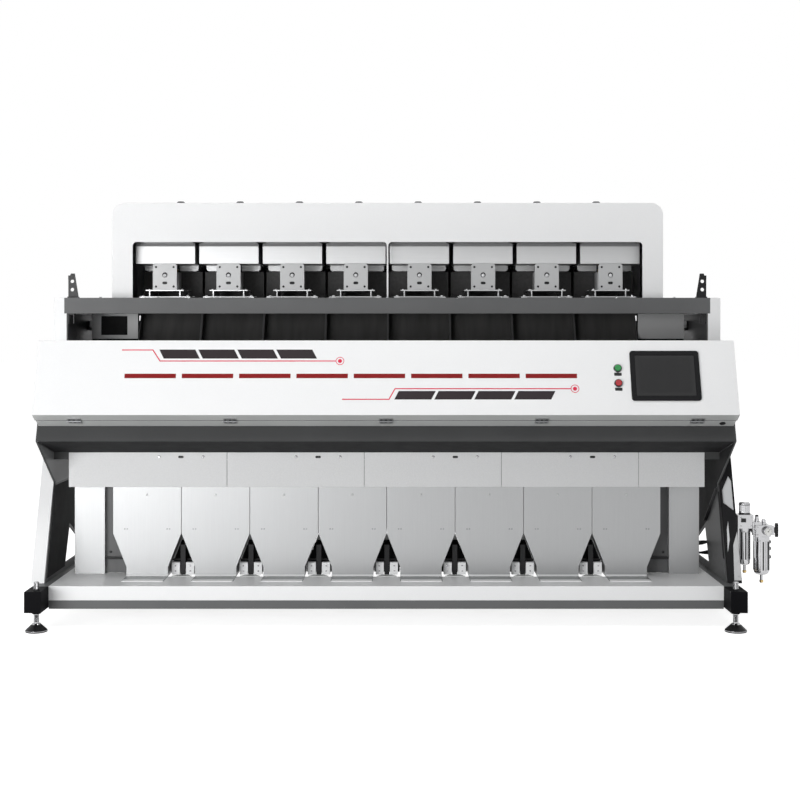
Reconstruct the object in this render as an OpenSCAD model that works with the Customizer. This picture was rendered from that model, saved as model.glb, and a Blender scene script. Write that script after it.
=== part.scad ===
// Chute-type optical colour sorter with eight lanes.
// Frame: X across the lanes, Y from the front to the back, Z up, floor at Z = 0.
// All lengths are in millimetres.

/* [Lanes] */
// Distance between the middles of two neighbouring lanes
lane_pitch = 330; // [310:5:350]
// Width from the outer lane's edge to the side plate
end_bay = 282; // [260:2:310]

/* [Base and feet] */
// Height of the deck's upper face above the floor
deck_top = 197; // [187:1:207]
// Thickness of the deck plate
deck_t = 2; // [1.5:0.5:4]
// Height of the deck's front apron
apron_h = 66; // [50:1:80]
// Height of the base beams under the deck
beam_h = 104; // [90:1:110]
// Width of the base beams
beam_w = 60; // [50:1:80]
// Distance from the middle plane to the outer face of the front and back beams
base_reach = 678; // [660:2:700]
// Inset of the long beams' ends from the side plates
base_inset = 35; // [30:1:40]
// Distance from the middle plane to the inner beam's middle
inner_beam_y = 250; // [220:5:300]
// Width of a foot block
block_w = 77; // [70:1:90]
// Depth of a foot block
block_d = 141; // [120:1:150]
// Height of a foot block
block_h = 96; // [80:1:100]
// Diameter of a levelling stem
stem_d = 24; // [20:1:27]
// Length of stem that stands above its block
stem_over = 35; // [25:1:45]
// Diameter of a foot pad
pad_d = 100; // [80:1:120]
// Height of a foot pad
pad_h = 41; // [30:1:46]
// Height of a lock nut
nut_h = 16; // [12:1:20]
// Width across the flats of a lock nut
nut_af = 36; // [34:1:41]

/* [Side frames] */
// Thickness of a side plate
plate_t = 7; // [5:0.5:10]
// Width of a leg and of a side box
leg_w = 63; // [55:1:75]
// Depth of a leg
leg_d = 110; // [90:1:130]
// Distance from the middle plane to the foot of a leg
leg_foot = 598; // [580:2:620]
// Run of a front leg towards the back for each unit of height
leg_slope = 0.398; // [0.36:0.002:0.42]
// Run of a back leg towards the back for each unit of height
back_slope = 0.08; // [0.06:0.005:0.1]
// Drop from the legs' tops to the knee in the side plate's edges
knee_drop = 122; // [110:1:134]
// Sheet of the side boxes
box_t = 6; // [4:0.5:8]
// Depth of the pockets in the right front leg
pocket_d = 8; // [5:0.5:10]

/* [Upper frame] */
// Height of the top beam's underside over the optical boxes
beam_rise = 140; // [126:2:154]
// Height of the top beam
top_beam_h = 79; // [70:1:90]
// Depth of the top beam
top_beam_d = 60; // [50:1:70]
// Sheet of the top beam
top_beam_t = 4; // [3:0.5:6]
// Distance from the middle plane to the top beam's front face
beam_front = 150; // [130:2:170]
// Distance from the middle plane to the back of the upper frame
upper_back = 700; // [690:2:730]
// Thickness of the feeder deck
shelf_t = 8; // [6:1:12]
// Width of the rails under the feeder deck's ends
rail_w = 31; // [25:1:35]
// Step between the beam's end and the side plate's outer face
beam_step = 12; // [8:1:20]
// Width of a lifting lug
lug_w = 52; // [46:1:60]
// Height of a lifting lug
lug_h = 123; // [110:1:140]
// Thickness of a lifting lug
lug_t = 8; // [6:1:12]
// Radius of the holes in a lifting lug
lug_r = 9; // [7:0.5:11]

/* [Covers] */
// Reach of the front cover's lower edge from the middle plane
cover_reach = 825; // [815:1:840]
// Rise of the lower beam's sloping underside
under_rise = 74; // [66:1:82]
// Height of the front cover's slanted face
cover_h = 337; // [325:1:345]
// Lean of the front cover's face towards the back
cover_lean = 123; // [110:1:135]
// Sheet of the covers
cover_t = 3; // [2:0.5:4]
// Run of the lip under the cover
lip_run = 100; // [90:1:110]
// Drop of the lip under the cover
lip_drop = 57; // [50:1:64]
// Height of the lower beam's front face
face_h = 69; // [60:1:80]
// Forward lean of the lower beam's front face
face_run = 27; // [20:1:32]
// Sheet of the lower beams
fold_t = 5; // [4:0.5:6]
// Width of the gap at the cover's seam
seam = 3; // [2:0.5:5]
// Full opening of a hinge knuckle row
hinge_w = 62; // [50:1:80]
// Distance from the cover's end to the outer hinge's middle
hinge_end = 183; // [165:1:201]
// Distance of the hinge axis from the lip's face
hinge_off = 5; // [4.8:0.1:6]
// Diameter of a hinge pin
pin_d = 5; // [4:0.5:6]

/* [Controls] */
// Width of the touch screen's bezel
screen_w = 318; // [290:2:340]
// Height of the touch screen's bezel
screen_h = 240; // [220:2:260]
// Distance from the middle plane to the screen's middle
screen_x = 1279; // [1265:1:1290]
// Height of the screen's middle up the cover's face
screen_v = 186; // [180:1:192]
// Thickness of the screen's bezel in front of the cover
screen_out = 7; // [5:1:10]
// Depth of the screen's housing behind the cover
screen_deep = 42; // [30:1:50]
// Distance from the screen's bezel to the push buttons' middle
button_side = 57; // [48:1:66]
// Height of the red button up the cover's face
button_v = 150; // [140:1:160]
// Distance between the two push buttons
button_gap = 72; // [66:1:80]
// Diameter of a push button's cap
button_d = 29; // [24:1:32]
// Travel of a push button
button_travel = 5; // [3:0.5:6]
// Radius of the lock's plug
lock_r = 11; // [9:0.5:13]

/* [Hopper and feeders] */
// Distance from the middle plane to the hopper's front face
hopper_front_y = 24; // [20:1:40]
// Height of the hopper over the feeder window
hopper_h = 201; // [181:1:221]
// Width of the hopper beyond the outer lanes
hopper_over = 97; // [80:1:110]
// Sheet of the hopper
hopper_t = 4; // [3:0.5:5]
// Radius of the hopper's top corners
hopper_r = 62; // [50:1:70]
// Height of the feeder window's top over the trays
window_over = 10; // [6:1:14]
// Width of the window's middle mullion
mullion = 8; // [6:1:14]
// Radius of an inlet spigot's bore
inlet_r = 75; // [60:1:90]
// Height of an inlet spigot over the hopper's top
spigot_h = 15; // [10:1:30]
// Width of a feeder tray
tray_w = 308; // [290:1:312]
// Height of a feeder tray's walls
tray_h = 98; // [85:1:102]
// Height of the trays over their mounts
tray_rise = 136; // [126:1:146]
// Distance from the middle plane to the closed end of the trays
tray_y = 100; // [95:1:110]
// Length of a feeder tray
tray_l = 375; // [360:1:385]
// Sheet of the trays
tray_t = 2.5; // [2:0.5:3]
// Depth of the stiffener under a tray's outlet end
belly_h = 30; // [20:1:34]
// Width of a drive's front bracket
drive_w = 125; // [110:1:140]
// Lean of the leaf springs
spring_lean = 20; // [15:1:24]

/* [Chutes and sorting] */
// Slope of the chutes
chute_angle = 60; // [58:0.5:62]
// Height of the chutes' walls
chute_wall = 40; // [30:1:44]
// Sheet of the chutes
chute_t = 3; // [2:0.5:4]
// Height of the chutes' lower ends over the optical boxes' floor
chute_over = 7; // [5:1:20]
// Distance from the chutes to the optical boxes
optic_gap = 110; // [105:1:120]
// Sheet of the optical boxes
optic_t = 4; // [3:0.5:5]
// Thickness of the glass
glass_t = 4; // [3:0.5:6]
// Diameter of the wiper rods
rod_d = 12; // [10:1:14]
// Radius of the light tubes
tube_r = 16; // [12:1:18]
// Radius of the air tank
tank_r = 50; // [40:1:55]

/* [Outlets] */
// Distance from the middle plane to the outlet panels
outlet_front = 427; // [420:1:432]
// Depth of the front outlet hoppers
reject_d = 222; // [200:2:226]
// Depth of the back outlet hoppers
accept_d = 335; // [300:2:340]
// Height of the outlet hoppers above the deck
outlet_h = 443; // [430:1:450]
// Height of the notch between two outlets above the deck
notch_h = 208; // [190:1:220]
// Height of the outlet spouts above the deck
spout_h = 47; // [35:1:60]
// Width that a notch takes off each side of an outlet
notch_w = 65; // [55:1:75]
// Sheet of the outlet hoppers
outlet_t = 2.5; // [2:0.5:3]
// Height of the white strip covers
strip_h = 166; // [160:1:172]
// Sheet of the strip covers
strip_t = 3; // [2:0.5:4]
// Width of an end post
post_w = 147; // [130:1:150]

/* [Air unit] */
// Length of the shut-off handle's stem
handle_stem = 11; // [8:1:20]
// Width of the regulator's head
head_w = 70; // [64:1:72]
// Radius of the regulator's bowl
bowl_r = 25; // [20:1:30]
// Radius of the filter's bowl
filter_r = 36; // [30:1:40]
// Diameter of the regulator's knob
knob_d = 53; // [45:1:60]
// Height of the regulator's knob
knob_h = 57; // [45:1:65]
// Radius of the air inlet's bore
port_r = 8.3; // [6.5:0.1:9]
// Diameter of the air hoses
hose_d = 25; // [20:1:28]

/* [Hidden] */
$fn = 48;
// Clearance between a turning or sliding piece and its bore, on the radius
run = 0.08;
// Clearance between neighbouring pieces that don't touch
gap = 0.3;
// Length by which a cut passes a face
past = 1;
lane_n = 8;
lanes_half = lane_n * lane_pitch / 2;
plate_in = lanes_half + end_bay;
plate_out = plate_in + plate_t;
leg_out = plate_out + leg_w;
beam_end = plate_out + beam_step;
base_top = deck_top - deck_t;
base_half = plate_in - base_inset;
block_bottom = base_top - block_h;
foot_x = base_half + block_w / 2;
foot_y = base_reach + block_d / 2;

// Outlets and the strip covers over them
row_gap = 10;
accept_front = outlet_front - reject_d - row_gap;
outlet_top = deck_top + outlet_h;
spout_half = lane_pitch / 2 - notch_w;
strip_out = 14;
strip_lap = 9;
strip_play = 3;
strip_y = -outlet_front - strip_out;
strip_top = outlet_top - strip_lap + strip_h;
flange_t = 8;
flange_h = 34;
leg_top = strip_top - flange_h;
knee_z = leg_top - knee_drop;

// Points of the front profile in the YZ plane
under_low = [strip_y, strip_top + strip_play];
cover_z = under_low[1] + under_rise + face_h + lip_drop;
cover_top = [-cover_reach + cover_lean, cover_z + cover_h];
cover_low = [-cover_reach, cover_z];
lip_low = cover_low + [lip_run, -lip_drop];
face_low = lip_low + [-face_run, -face_h];
lip_dir = unit(lip_low - cover_low);
lip_out = [lip_dir[1], -lip_dir[0]];
lip_len = norm(lip_low - cover_low);
hinge_axis = cover_low + lip_dir * lip_len / 2 + lip_out * hinge_off;
lip_angle = atan2(lip_dir[1], lip_dir[0]);
face_angle = atan2(cover_h, cover_lean);
cover_inset = 2;
cover_half = plate_out - cover_inset;
hinge_pitch = (cover_half - hinge_end) / 2;
button_x = screen_x - screen_w / 2 - button_side;
corner_y = 660;
corner_drop = 7;
box_edge_top = [-corner_y, cover_z + cover_h - corner_drop];
optic_floor = lip_low[1];
optic_top = box_edge_top[1];
beam_z = optic_top + beam_rise;
beam_top = beam_z + top_beam_h;

// Heights of the feeders over the top beam
mount_plate = 6;
mount_foot = 7;
mount_rise = 28;
mount_top = beam_top + mount_foot + 2 * mount_plate + mount_rise;
mount_len = 230;
mount_y = tray_y - 20;
tray_z = mount_top + tray_rise;

// Chute line in the YZ plane, through a point under the top beam
chute_drop = 71;
chute_z0 = beam_z - chute_drop;
chute_y0 = 300;
chute_play = 10;
chute_low = optic_floor + chute_over;
chute_top_z = tray_z - chute_play;
chute_up = [-sin(chute_angle), cos(chute_angle)];
function chute_at(z) = [chute_y0 + (z - chute_z0) / tan(chute_angle), z];

// Hopper
hopper_half = lanes_half + hopper_over;
window_top = tray_z + tray_h + window_over;
hopper_top = window_top + hopper_h;
window_inset = 9;
window_half = lanes_half - window_inset;
hopper_back = upper_back;
spout_play = 14;
spout_w = tray_w - 2 * spout_play;
spout_y = tray_y + 30;
spout_d = 150;
spout_low = tray_z + 43;
floor_over = 6;
bin_floor = window_top + floor_over;
inlet_y = spout_y + 124;

// Air unit
bracket_t = 7;
link_l = 10;
air_y = -470;
air_x = leg_out + bracket_t + head_w / 2;
air_z = base_top + 310;
filter_x = air_x + head_w / 2 + link_l + filter_r;
valve_x = filter_x + filter_r;
valve_z = air_z - 77;
valve_w = 19;
lever_t = 12;
handle_x = valve_x + valve_w + gap;
// Shift that brings the middle of the whole machine over the origin
machine_x = (leg_out - handle_x - handle_stem - lever_t) / 2;

// Vector helpers for folded sheets
function unit(v) = v / norm(v);
function left_of(v) = [-v[1], v[0]];
function way(p, i) = unit(p[i + 1] - p[i]);
function miter(p, i, t) =
    let (a = left_of(i > 0 ? way(p, i - 1) : way(p, i)))
    let (b = left_of(i < len(p) - 1 ? way(p, i) : way(p, i - 1)))
    p[i] + unit(a + b) * t / (unit(a + b) * b);
// Outline of a sheet of thickness t that lies to the left of a folded path
function sheet(p, t) = concat(p, [for (i = [len(p) - 1 : -1 : 0]) miter(p, i, t)]);
// Closed outline moved to its right by t
function inset(p, t) = let (n = len(p)) [for (i = [0 : n - 1])
    let (a = left_of(unit(p[i] - p[(i + n - 1) % n])), b = left_of(unit(p[(i + 1) % n] - p[i])))
    p[i] - unit(a + b) * t / (unit(a + b) * b)];

// Box between two corners
module block(low, high) {
    translate(low) cube(high - low);
}

// Box with its length along X in the middle plane, from low to high in Y and Z
module bar(half, low, high) {
    block([-half, low[0], low[1]], [half, high[0], high[1]]);
}

// Prism along X from an outline in the YZ plane
module along_x(points, x0, x1) {
    translate([x0, 0, 0]) rotate([90, 0, 90]) linear_extrude(x1 - x0) polygon(points);
}

// Prism along Y from an outline in the XZ plane
module along_y(points, y0, y1) {
    translate([0, y1, 0]) rotate([90, 0, 0]) linear_extrude(y1 - y0) polygon(points);
}

module both_sides() {
    children();
    mirror([1, 0, 0]) children();
}

module front_and_back() {
    children();
    mirror([0, 1, 0]) children();
}

function lane_x(i) = (i - (lane_n - 1) / 2) * lane_pitch;

module each_lane() {
    for (i = [0 : lane_n - 1]) translate([lane_x(i), 0, 0]) children();
}

// Flat rectangle with round corners, middle at the origin
module round_rect(w, h, r) {
    square([w - 2 * r, h], center = true);
    square([w, h - 2 * r], center = true);
    for (x = [-1, 1], y = [-1, 1]) translate([x * (w / 2 - r), y * (h / 2 - r)]) circle(r);
}

// Flat slot with round ends, middle at the origin
module slot(w, r) {
    square([w - 2 * r, 2 * r], center = true);
    for (x = [-1, 1]) translate([x * (w / 2 - r), 0]) circle(r);
}

// Place on the front cover's face: x across, v up the face, local Z outwards
module on_face(x, v) {
    translate([x, cover_low[0] + v * cos(face_angle), cover_low[1] + v * sin(face_angle)])
        rotate([face_angle, 0, 0]) children();
}

// Place on the hinge axis: local Y down the lip, local Z into the machine
module on_hinge(x) {
    translate([x, hinge_axis[0], hinge_axis[1]]) rotate([lip_angle, 0, 0]) children();
}

// Base and feet

module base_frame() {
    color("#4a4c4f") {
        front_and_back() bar(base_half, [-base_reach, base_top - beam_h], [-base_reach + beam_w, base_top]);
        both_sides()
            block([base_half, -base_reach, block_bottom], [base_half + block_w, base_reach, base_top]);
        bar(base_half, [inner_beam_y - beam_w / 2, base_top - beam_w], [inner_beam_y + beam_w / 2, base_top]);
    }
}

// Block on the end of a side beam, bored for the stem, and the lock nut under it
module foot_block() {
    bore = stem_d / 2 + run;
    difference() {
        block([base_half, -base_reach - block_d, block_bottom], [base_half + block_w, -base_reach, base_top]);
        translate([foot_x, -foot_y, block_bottom - past]) cylinder(r = bore, h = block_h + 2 * past);
    }
    difference() {
        translate([foot_x, -foot_y, block_bottom - nut_h])
            cylinder(d = nut_af / cos(30), h = nut_h, $fn = 6);
        translate([foot_x, -foot_y, block_bottom - nut_h - past]) cylinder(r = bore, h = nut_h + 2 * past);
    }
}

module foot_blocks() {
    color("#1d1e20") both_sides() front_and_back() foot_block();
}

// Levelling foot: domed pad and threaded stem
module foot(x, y) {
    rim = 9;
    edge = 2;
    neck_r = stem_d / 2 + 6;
    neck_h = 6;
    flare = 4;
    stem_top = base_top + stem_over;
    color("#a9abad") translate([x, y, 0]) rotate_extrude()
        polygon([
            [0, 0], [pad_d / 2 - edge, 0], [pad_d / 2, edge], [pad_d / 2, rim],
            [neck_r + flare, pad_h - neck_h], [neck_r, pad_h], [stem_d / 2, pad_h],
            [stem_d / 2, stem_top - edge], [stem_d / 2 - edge, stem_top], [0, stem_top]
        ]);
}

module foot_1() { foot(-foot_x, -foot_y); }
module foot_2() { foot(foot_x, -foot_y); }
module foot_3() { foot(-foot_x, foot_y); }
module foot_4() { foot(foot_x, foot_y); }

// Deck plate with an apron in front and one slot for each row of outlets
module base_deck() {
    ledge = 4;
    slot_half = lanes_half - notch_w + ledge;
    inset = outlet_t + 1;
    color("#c9cbcc") difference() {
        union() {
            bar(base_half, [-base_reach - deck_t, base_top], [base_reach, deck_top]);
            bar(base_half, [-base_reach - deck_t, deck_top - apron_h], [-base_reach, deck_top]);
        }
        for (row = [[-outlet_front, reject_d], [-accept_front, accept_d]])
            bar(slot_half, [row[0] + inset, base_top - past], [row[0] + row[1] - inset, deck_top + past]);
    }
}

// Side frames

function leg_line(z) = -leg_foot + (z - base_top) * leg_slope;
function back_line(z) = leg_foot + (z - base_top) * back_slope;

// Side plate outline from the foot of the front leg round to the back leg
foot_inset = 20;
knee_inset = 18;
plate_edge = [
    [leg_line(base_top) + foot_inset, base_top],
    [leg_line(knee_z) + knee_inset, knee_z],
    face_low,
    lip_low,
    box_edge_top,
    [-beam_front, box_edge_top[1]],
    [-beam_front, beam_z],
    [upper_back, beam_z],
    [-box_edge_top[0], box_edge_top[1]],
    [-lip_low[0], lip_low[1]],
    [-face_low[0], face_low[1]],
    [-leg_line(knee_z) - knee_inset, knee_z],
    [leg_foot - foot_inset, base_top]
];
// Triangular window low in the side plate
opening_low = deck_top + 34;
opening_high = deck_top + 203;
opening_front = -203;
opening_peak = -115;
opening_back = 262;

module side_plates() {
    opening = [[opening_front, opening_low], [opening_peak, opening_high], [opening_back, opening_low]];
    color("#3a3c3f") both_sides() difference() {
        along_x(plate_edge, plate_in, plate_out);
        along_x(opening, plate_in - past, plate_out + past);
    }
}

front_leg = [
    [leg_line(base_top), base_top], [leg_line(leg_top), leg_top],
    [leg_line(leg_top) + leg_d, leg_top], [leg_line(base_top) + leg_d, base_top]
];
back_leg = [
    [back_line(base_top) - leg_d, base_top], [back_line(leg_top) - leg_d, leg_top],
    [back_line(leg_top), leg_top], [back_line(base_top), base_top]
];

module left_legs() {
    color("#eeeeee") {
        along_x(front_leg, -leg_out, -plate_out);
        along_x(back_leg, -leg_out, -plate_out);
    }
}

// Cut from the front of the right leg: an outline across and up the leg from the height z
module leg_pocket(z, outline) {
    rim = 7;
    w = leg_w - 2 * rim;
    translate([plate_out + rim, leg_line(z) + pocket_d, z]) rotate([90 - atan(leg_slope), 0, 0])
        linear_extrude(3 * pocket_d) polygon([for (p = outline) [p[0] * w, p[1]]]);
}

module right_legs() {
    long_z = leg_top - 246;
    long_pocket = [[0, 40], [0, 105], [0.75, 177], [1, 150], [1, 0]];
    corner_z = leg_top - 69;
    corner_pocket = [[0, -10], [0, 60], [0.8, 60]];
    color("#2f3134") {
        difference() {
            along_x(front_leg, plate_out, leg_out);
            leg_pocket(long_z, long_pocket);
            leg_pocket(corner_z, corner_pocket);
        }
        along_x(back_leg, plate_out, leg_out);
    }
}

// Boxes over the legs, open towards the side plates
module side_boxes() {
    shoulder = leg_top + (-beam_front - leg_line(leg_top)) / leg_slope;
    outline = [
        [leg_line(leg_top), leg_top], [-beam_front, shoulder], [-beam_front, beam_z],
        [upper_back, beam_z], [back_line(leg_top), leg_top]
    ];
    color("#f1f1f1") both_sides() difference() {
        union() {
            along_x(outline, plate_out, leg_out);
            block([beam_end, -beam_front, beam_z], [leg_out, upper_back, beam_top]);
        }
        along_x(inset(outline, box_t), plate_out - past, leg_out - box_t);
    }
}

// Upper frame

// Channel, open towards the back
module top_beam() {
    back = -beam_front + top_beam_d;
    color("#9b9da0") difference() {
        bar(beam_end, [-beam_front, beam_z], [back, beam_top]);
        bar(beam_end + past, [-beam_front + top_beam_t, beam_z + top_beam_t],
            [back + past, beam_top - top_beam_t]);
    }
}

shelf_front = -beam_front + top_beam_d;
shelf_back = upper_back - top_beam_d;

// Feeder deck with the chute slot, two side rails and the back beam
module upper_frame() {
    slot_over = 5;
    slot_play = 12;
    rail_z = beam_z + 10;
    slot_front = chute_at(beam_top - shelf_t)[0] - chute_wall / sin(chute_angle) - slot_play;
    slot_back = chute_at(beam_top)[0] + chute_t / sin(chute_angle) + slot_play;
    color("#4a4c4f") {
        difference() {
            bar(plate_in, [shelf_front, beam_top - shelf_t], [shelf_back, beam_top]);
            bar(lanes_half + slot_over, [slot_front, beam_z], [slot_back, beam_top + past]);
        }
        both_sides()
            block([plate_in - rail_w, shelf_front, rail_z], [plate_in, shelf_back, beam_top - shelf_t]);
        bar(beam_end, [shelf_back, beam_z], [upper_back, beam_top]);
    }
}

// Lifting lug: plate with a slanted top and two holes, on a foot
module lug() {
    x = plate_in - 20;
    y = -beam_front + top_beam_d / 2;
    foot_d = 44;
    foot_t = 6;
    shoulder = 0.72 * lug_h;
    hole_x = 6;
    hole_step = 42;
    difference() {
        union() {
            translate([x, 0, beam_top]) along_y([
                [-lug_w / 2, 0], [lug_w / 2, 0], [lug_w / 2, shoulder],
                [lug_w / 4, lug_h], [-lug_w / 8, lug_h]
            ], y, y + lug_t);
            block([x - lug_w / 2, y - foot_d / 2, beam_top],
                  [x + lug_w / 2, y + foot_d / 2, beam_top + foot_t]);
        }
        for (k = [1, 2]) translate([x + hole_x, y + lug_t + past, beam_top + k * hole_step])
            rotate([90, 0, 0]) cylinder(r = lug_r, h = lug_t + 2 * past);
    }
}

// Stay bracket under the beam's end: a channel, open downwards
module stay() {
    w = 30;
    h = 50;
    d = 40;
    t = 5;
    front = -beam_front + 5;
    translate([plate_in - w, front, beam_z - h]) difference() {
        cube([w, d, h]);
        translate([t, -past, -past]) cube([w - 2 * t, d + 2 * past, h - t + past]);
    }
}

module upper_brackets() {
    color("#2b2d30") both_sides() {
        lug();
        stay();
    }
}

// Hopper

// Inverted U outline of the hopper, inset by d
module hopper_outline(d) {
    half = hopper_half - d;
    top = hopper_top - d;
    r = hopper_r - d;
    translate([-half, beam_top]) square([2 * half, top - r - beam_top]);
    translate([-half + r, beam_top]) square([2 * (half - r), top - beam_top]);
    for (s = [-1, 1]) translate([s * (half - r), top - r]) circle(r);
}

// Front panel with the feeder window and its middle mullion
module hopper_front() {
    window_r = 20;
    window_h = window_top - beam_top;
    pane_w = window_half - mullion / 2;
    color("#f2f2f2") translate([0, hopper_front_y + hopper_t, 0]) rotate([90, 0, 0])
        linear_extrude(hopper_t) difference() {
            hopper_outline(0);
            for (s = [-1, 1]) translate([s * (pane_w + mullion) / 2, beam_top]) {
                translate([-pane_w / 2, -past]) square([pane_w, window_h - window_r + past]);
                translate([0, window_h / 2]) round_rect(pane_w, window_h, window_r);
            }
        }
}

// Bent housing with one inlet spigot over each lane
module hopper_shell() {
    length = hopper_back - hopper_front_y - hopper_t;
    color("#f2f2f2") difference() {
        union() {
            translate([0, hopper_back, 0]) rotate([90, 0, 0]) linear_extrude(length) hopper_outline(0);
            each_lane() translate([0, inlet_y, hopper_top - hopper_t])
                cylinder(r = inlet_r + hopper_t, h = hopper_t + spigot_h);
        }
        translate([0, hopper_back - hopper_t, 0]) rotate([90, 0, 0])
            linear_extrude(length) hopper_outline(hopper_t);
        bar(hopper_half - hopper_t, [hopper_front_y, beam_top - past],
            [hopper_back - hopper_t, beam_top + hopper_t]);
        each_lane() translate([0, inlet_y, hopper_top - 2 * hopper_t])
            cylinder(r = inlet_r, h = 3 * hopper_t + spigot_h);
    }
}

// Trough under the inlets and one spout into each tray
module hopper_bin() {
    ledge = 12;
    rise_run = 150;
    front = spout_y - ledge;
    back = spout_y + spout_d + ledge;
    top = hopper_top - hopper_t - gap;
    path = [[front, top], [front, bin_floor], [back, bin_floor], [back + rise_run, top]];
    over = 20;
    mouth = [[front - over, top], [back + rise_run + over, top + over]];
    end = lanes_half - 2;
    bore = [spout_w / 2 - hopper_t, spout_y + hopper_t, spout_y + spout_d - hopper_t];
    color("#b9bbbd") {
        difference() {
            union() {
                along_x(sheet(path, hopper_t), -end, end);
                both_sides() along_x(path, end - hopper_t, end);
            }
            each_lane() bar(bore[0], [bore[1], bin_floor - past], [bore[2], bin_floor + hopper_t + past]);
            bar(lanes_half, mouth[0], mouth[1]);
        }
        each_lane() difference() {
            bar(spout_w / 2, [spout_y, spout_low], [spout_y + spout_d, bin_floor]);
            bar(bore[0], [bore[1], spout_low - past], [bore[2], bin_floor + past]);
        }
    }
}

// Level sensors on the hopper's top, behind the inlets
module level_sensors() {
    sensor_y = hopper_back - 86;
    flange_r = 27;
    flange_h = 8;
    body_r = 22;
    body_z = 12;
    top_r = 16;
    shoulder = 56;
    height = 63;
    color("#d6d8d9") each_lane() translate([0, sensor_y, hopper_top]) rotate_extrude()
        polygon([
            [0, 0], [flange_r, 0], [flange_r, flange_h], [body_r, body_z],
            [body_r, shoulder], [top_r, height], [0, height]
        ]);
}

// Feeders

// Two plates joined by two risers, on two bent feet
module feeder_mounts() {
    low_w = 264;
    top_w = 197;
    foot_w = 30;
    riser_t = 6;
    riser_x = top_w / 2 - 20;
    tail = 30;
    back = mount_y + mount_len;
    z1 = beam_top + mount_foot;
    z2 = z1 + mount_plate;
    z3 = z2 + mount_rise;
    color("#8f9194") each_lane() union() {
        both_sides() {
            block([low_w / 2 - foot_w, mount_y, beam_top], [low_w / 2, back, z1]);
            block([riser_x - riser_t / 2, mount_y, z2], [riser_x + riser_t / 2, back, z3]);
        }
        bar(low_w / 2, [mount_y, z1], [back, z2]);
        bar(top_w / 2, [mount_y, z3], [back + tail, mount_top]);
    }
}

// Drive: slotted front bracket with five holes, and the magnet behind it
module feeder_drives() {
    plate = 8;
    foot_d = 30;
    height = tray_z - 1 - mount_top;
    corner = 12;
    hole_inset = 17;
    hole_r = 5;
    mid_r = 13;
    mid_rise = 10;
    slot_r = 7;
    slot_w = 26;
    slot_drop = 32;
    magnet_w = 110;
    magnet_y = mount_y + 106;
    magnet_d = 92;
    magnet_h = 96;
    color("#a7a9ab") each_lane() {
        difference() {
            union() {
                translate([0, mount_y + plate, mount_top + height / 2]) rotate([90, 0, 0])
                    linear_extrude(plate) round_rect(drive_w, height, corner);
                bar(drive_w / 2, [mount_y, mount_top], [mount_y + foot_d, mount_top + plate]);
            }
            translate([0, mount_y + plate + past, mount_top + height / 2]) rotate([90, 0, 0]) {
                for (x = [-1, 1], z = [-1, 1])
                    translate([x * (drive_w / 2 - hole_inset), z * (height / 2 - hole_inset), 0])
                        cylinder(r = hole_r, h = plate + 2 * past);
                translate([0, mid_rise, 0]) cylinder(r = mid_r, h = plate + 2 * past);
                translate([0, -slot_drop, 0]) linear_extrude(plate + 2 * past) slot(slot_w, slot_r);
            }
        }
        bar(magnet_w / 2, [magnet_y, mount_top], [magnet_y + magnet_d, mount_top + magnet_h]);
    }
}

// Leaf springs: leaning strips between the mount and the tray
module feeder_springs() {
    leaf_w = 90;
    leaf_t = 4;
    play = 0.8;
    top = tray_z - play;
    lean = (top - mount_top) * tan(spring_lean);
    front = mount_y + 86;
    spread = 164;
    color("#55585b") each_lane() for (y = [front, front + spread])
        along_x([[y, mount_top], [y + leaf_t, mount_top], [y + leaf_t - lean, top], [y - lean, top]],
            -leaf_w / 2, leaf_w / 2);
}

// Tray: closed towards the front, open above and at the back, with a stiffener under its outlet end
module feeder_tray(i) {
    cut = 18;
    belly_in = 10;
    belly_r = 15;
    belly_y = 200;
    belly_l = 140;
    belly_w = tray_w - 2 * belly_in;
    back = tray_y + tray_l;
    top = tray_z + tray_h;
    color("#dfe1e2") translate([lane_x(i), 0, 0]) {
        difference() {
            bar(tray_w / 2, [tray_y, tray_z], [back, top]);
            bar(tray_w / 2 - tray_t, [tray_y + tray_t, tray_z + tray_t], [back + past, top + past]);
            along_x([
                [back - cut, top + past], [back + past, top + past], [back + past, tray_z + tray_t + cut]
            ], -tray_w, tray_w);
        }
        translate([0, tray_y + belly_y + belly_l, tray_z]) rotate([90, 0, 0]) linear_extrude(belly_l) {
            translate([-belly_w / 2, -belly_h + belly_r]) square([belly_w, belly_h - belly_r]);
            translate([-belly_w / 2 + belly_r, -belly_h]) square([belly_w - 2 * belly_r, belly_h]);
            for (s = [-1, 1]) translate([s * (belly_w / 2 - belly_r), -belly_h + belly_r]) circle(belly_r);
        }
    }
}

module feeder_tray_1() { feeder_tray(0); }
module feeder_tray_2() { feeder_tray(1); }
module feeder_tray_3() { feeder_tray(2); }
module feeder_tray_4() { feeder_tray(3); }
module feeder_tray_5() { feeder_tray(4); }
module feeder_tray_6() { feeder_tray(5); }
module feeder_tray_7() { feeder_tray(6); }
module feeder_tray_8() { feeder_tray(7); }

// Chutes and sorting chamber

// Strip of the chute line between two heights, from d1 to d2 above the sliding face
function chute_strip(z1, z2, d1, d2) = [
    chute_at(z1) + chute_up * d1, chute_at(z2) + chute_up * d1,
    chute_at(z2) + chute_up * d2, chute_at(z1) + chute_up * d2
];

// U profile drawn across the lane and extruded up the slope
module chutes() {
    side_play = 2;
    half = lane_pitch / 2 - side_play;
    inner = half - chute_t;
    low = chute_at(chute_low);
    color("#3b3e41") each_lane() translate([0, low[0], low[1]]) rotate([chute_angle - 90, 0, 0])
        linear_extrude((chute_top_z - chute_low) / sin(chute_angle)) polygon([
            [-half, chute_t], [half, chute_t], [half, -chute_wall], [inner, -chute_wall],
            [inner, 0], [-inner, 0], [-inner, -chute_wall], [-half, -chute_wall]
        ]);
}

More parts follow.
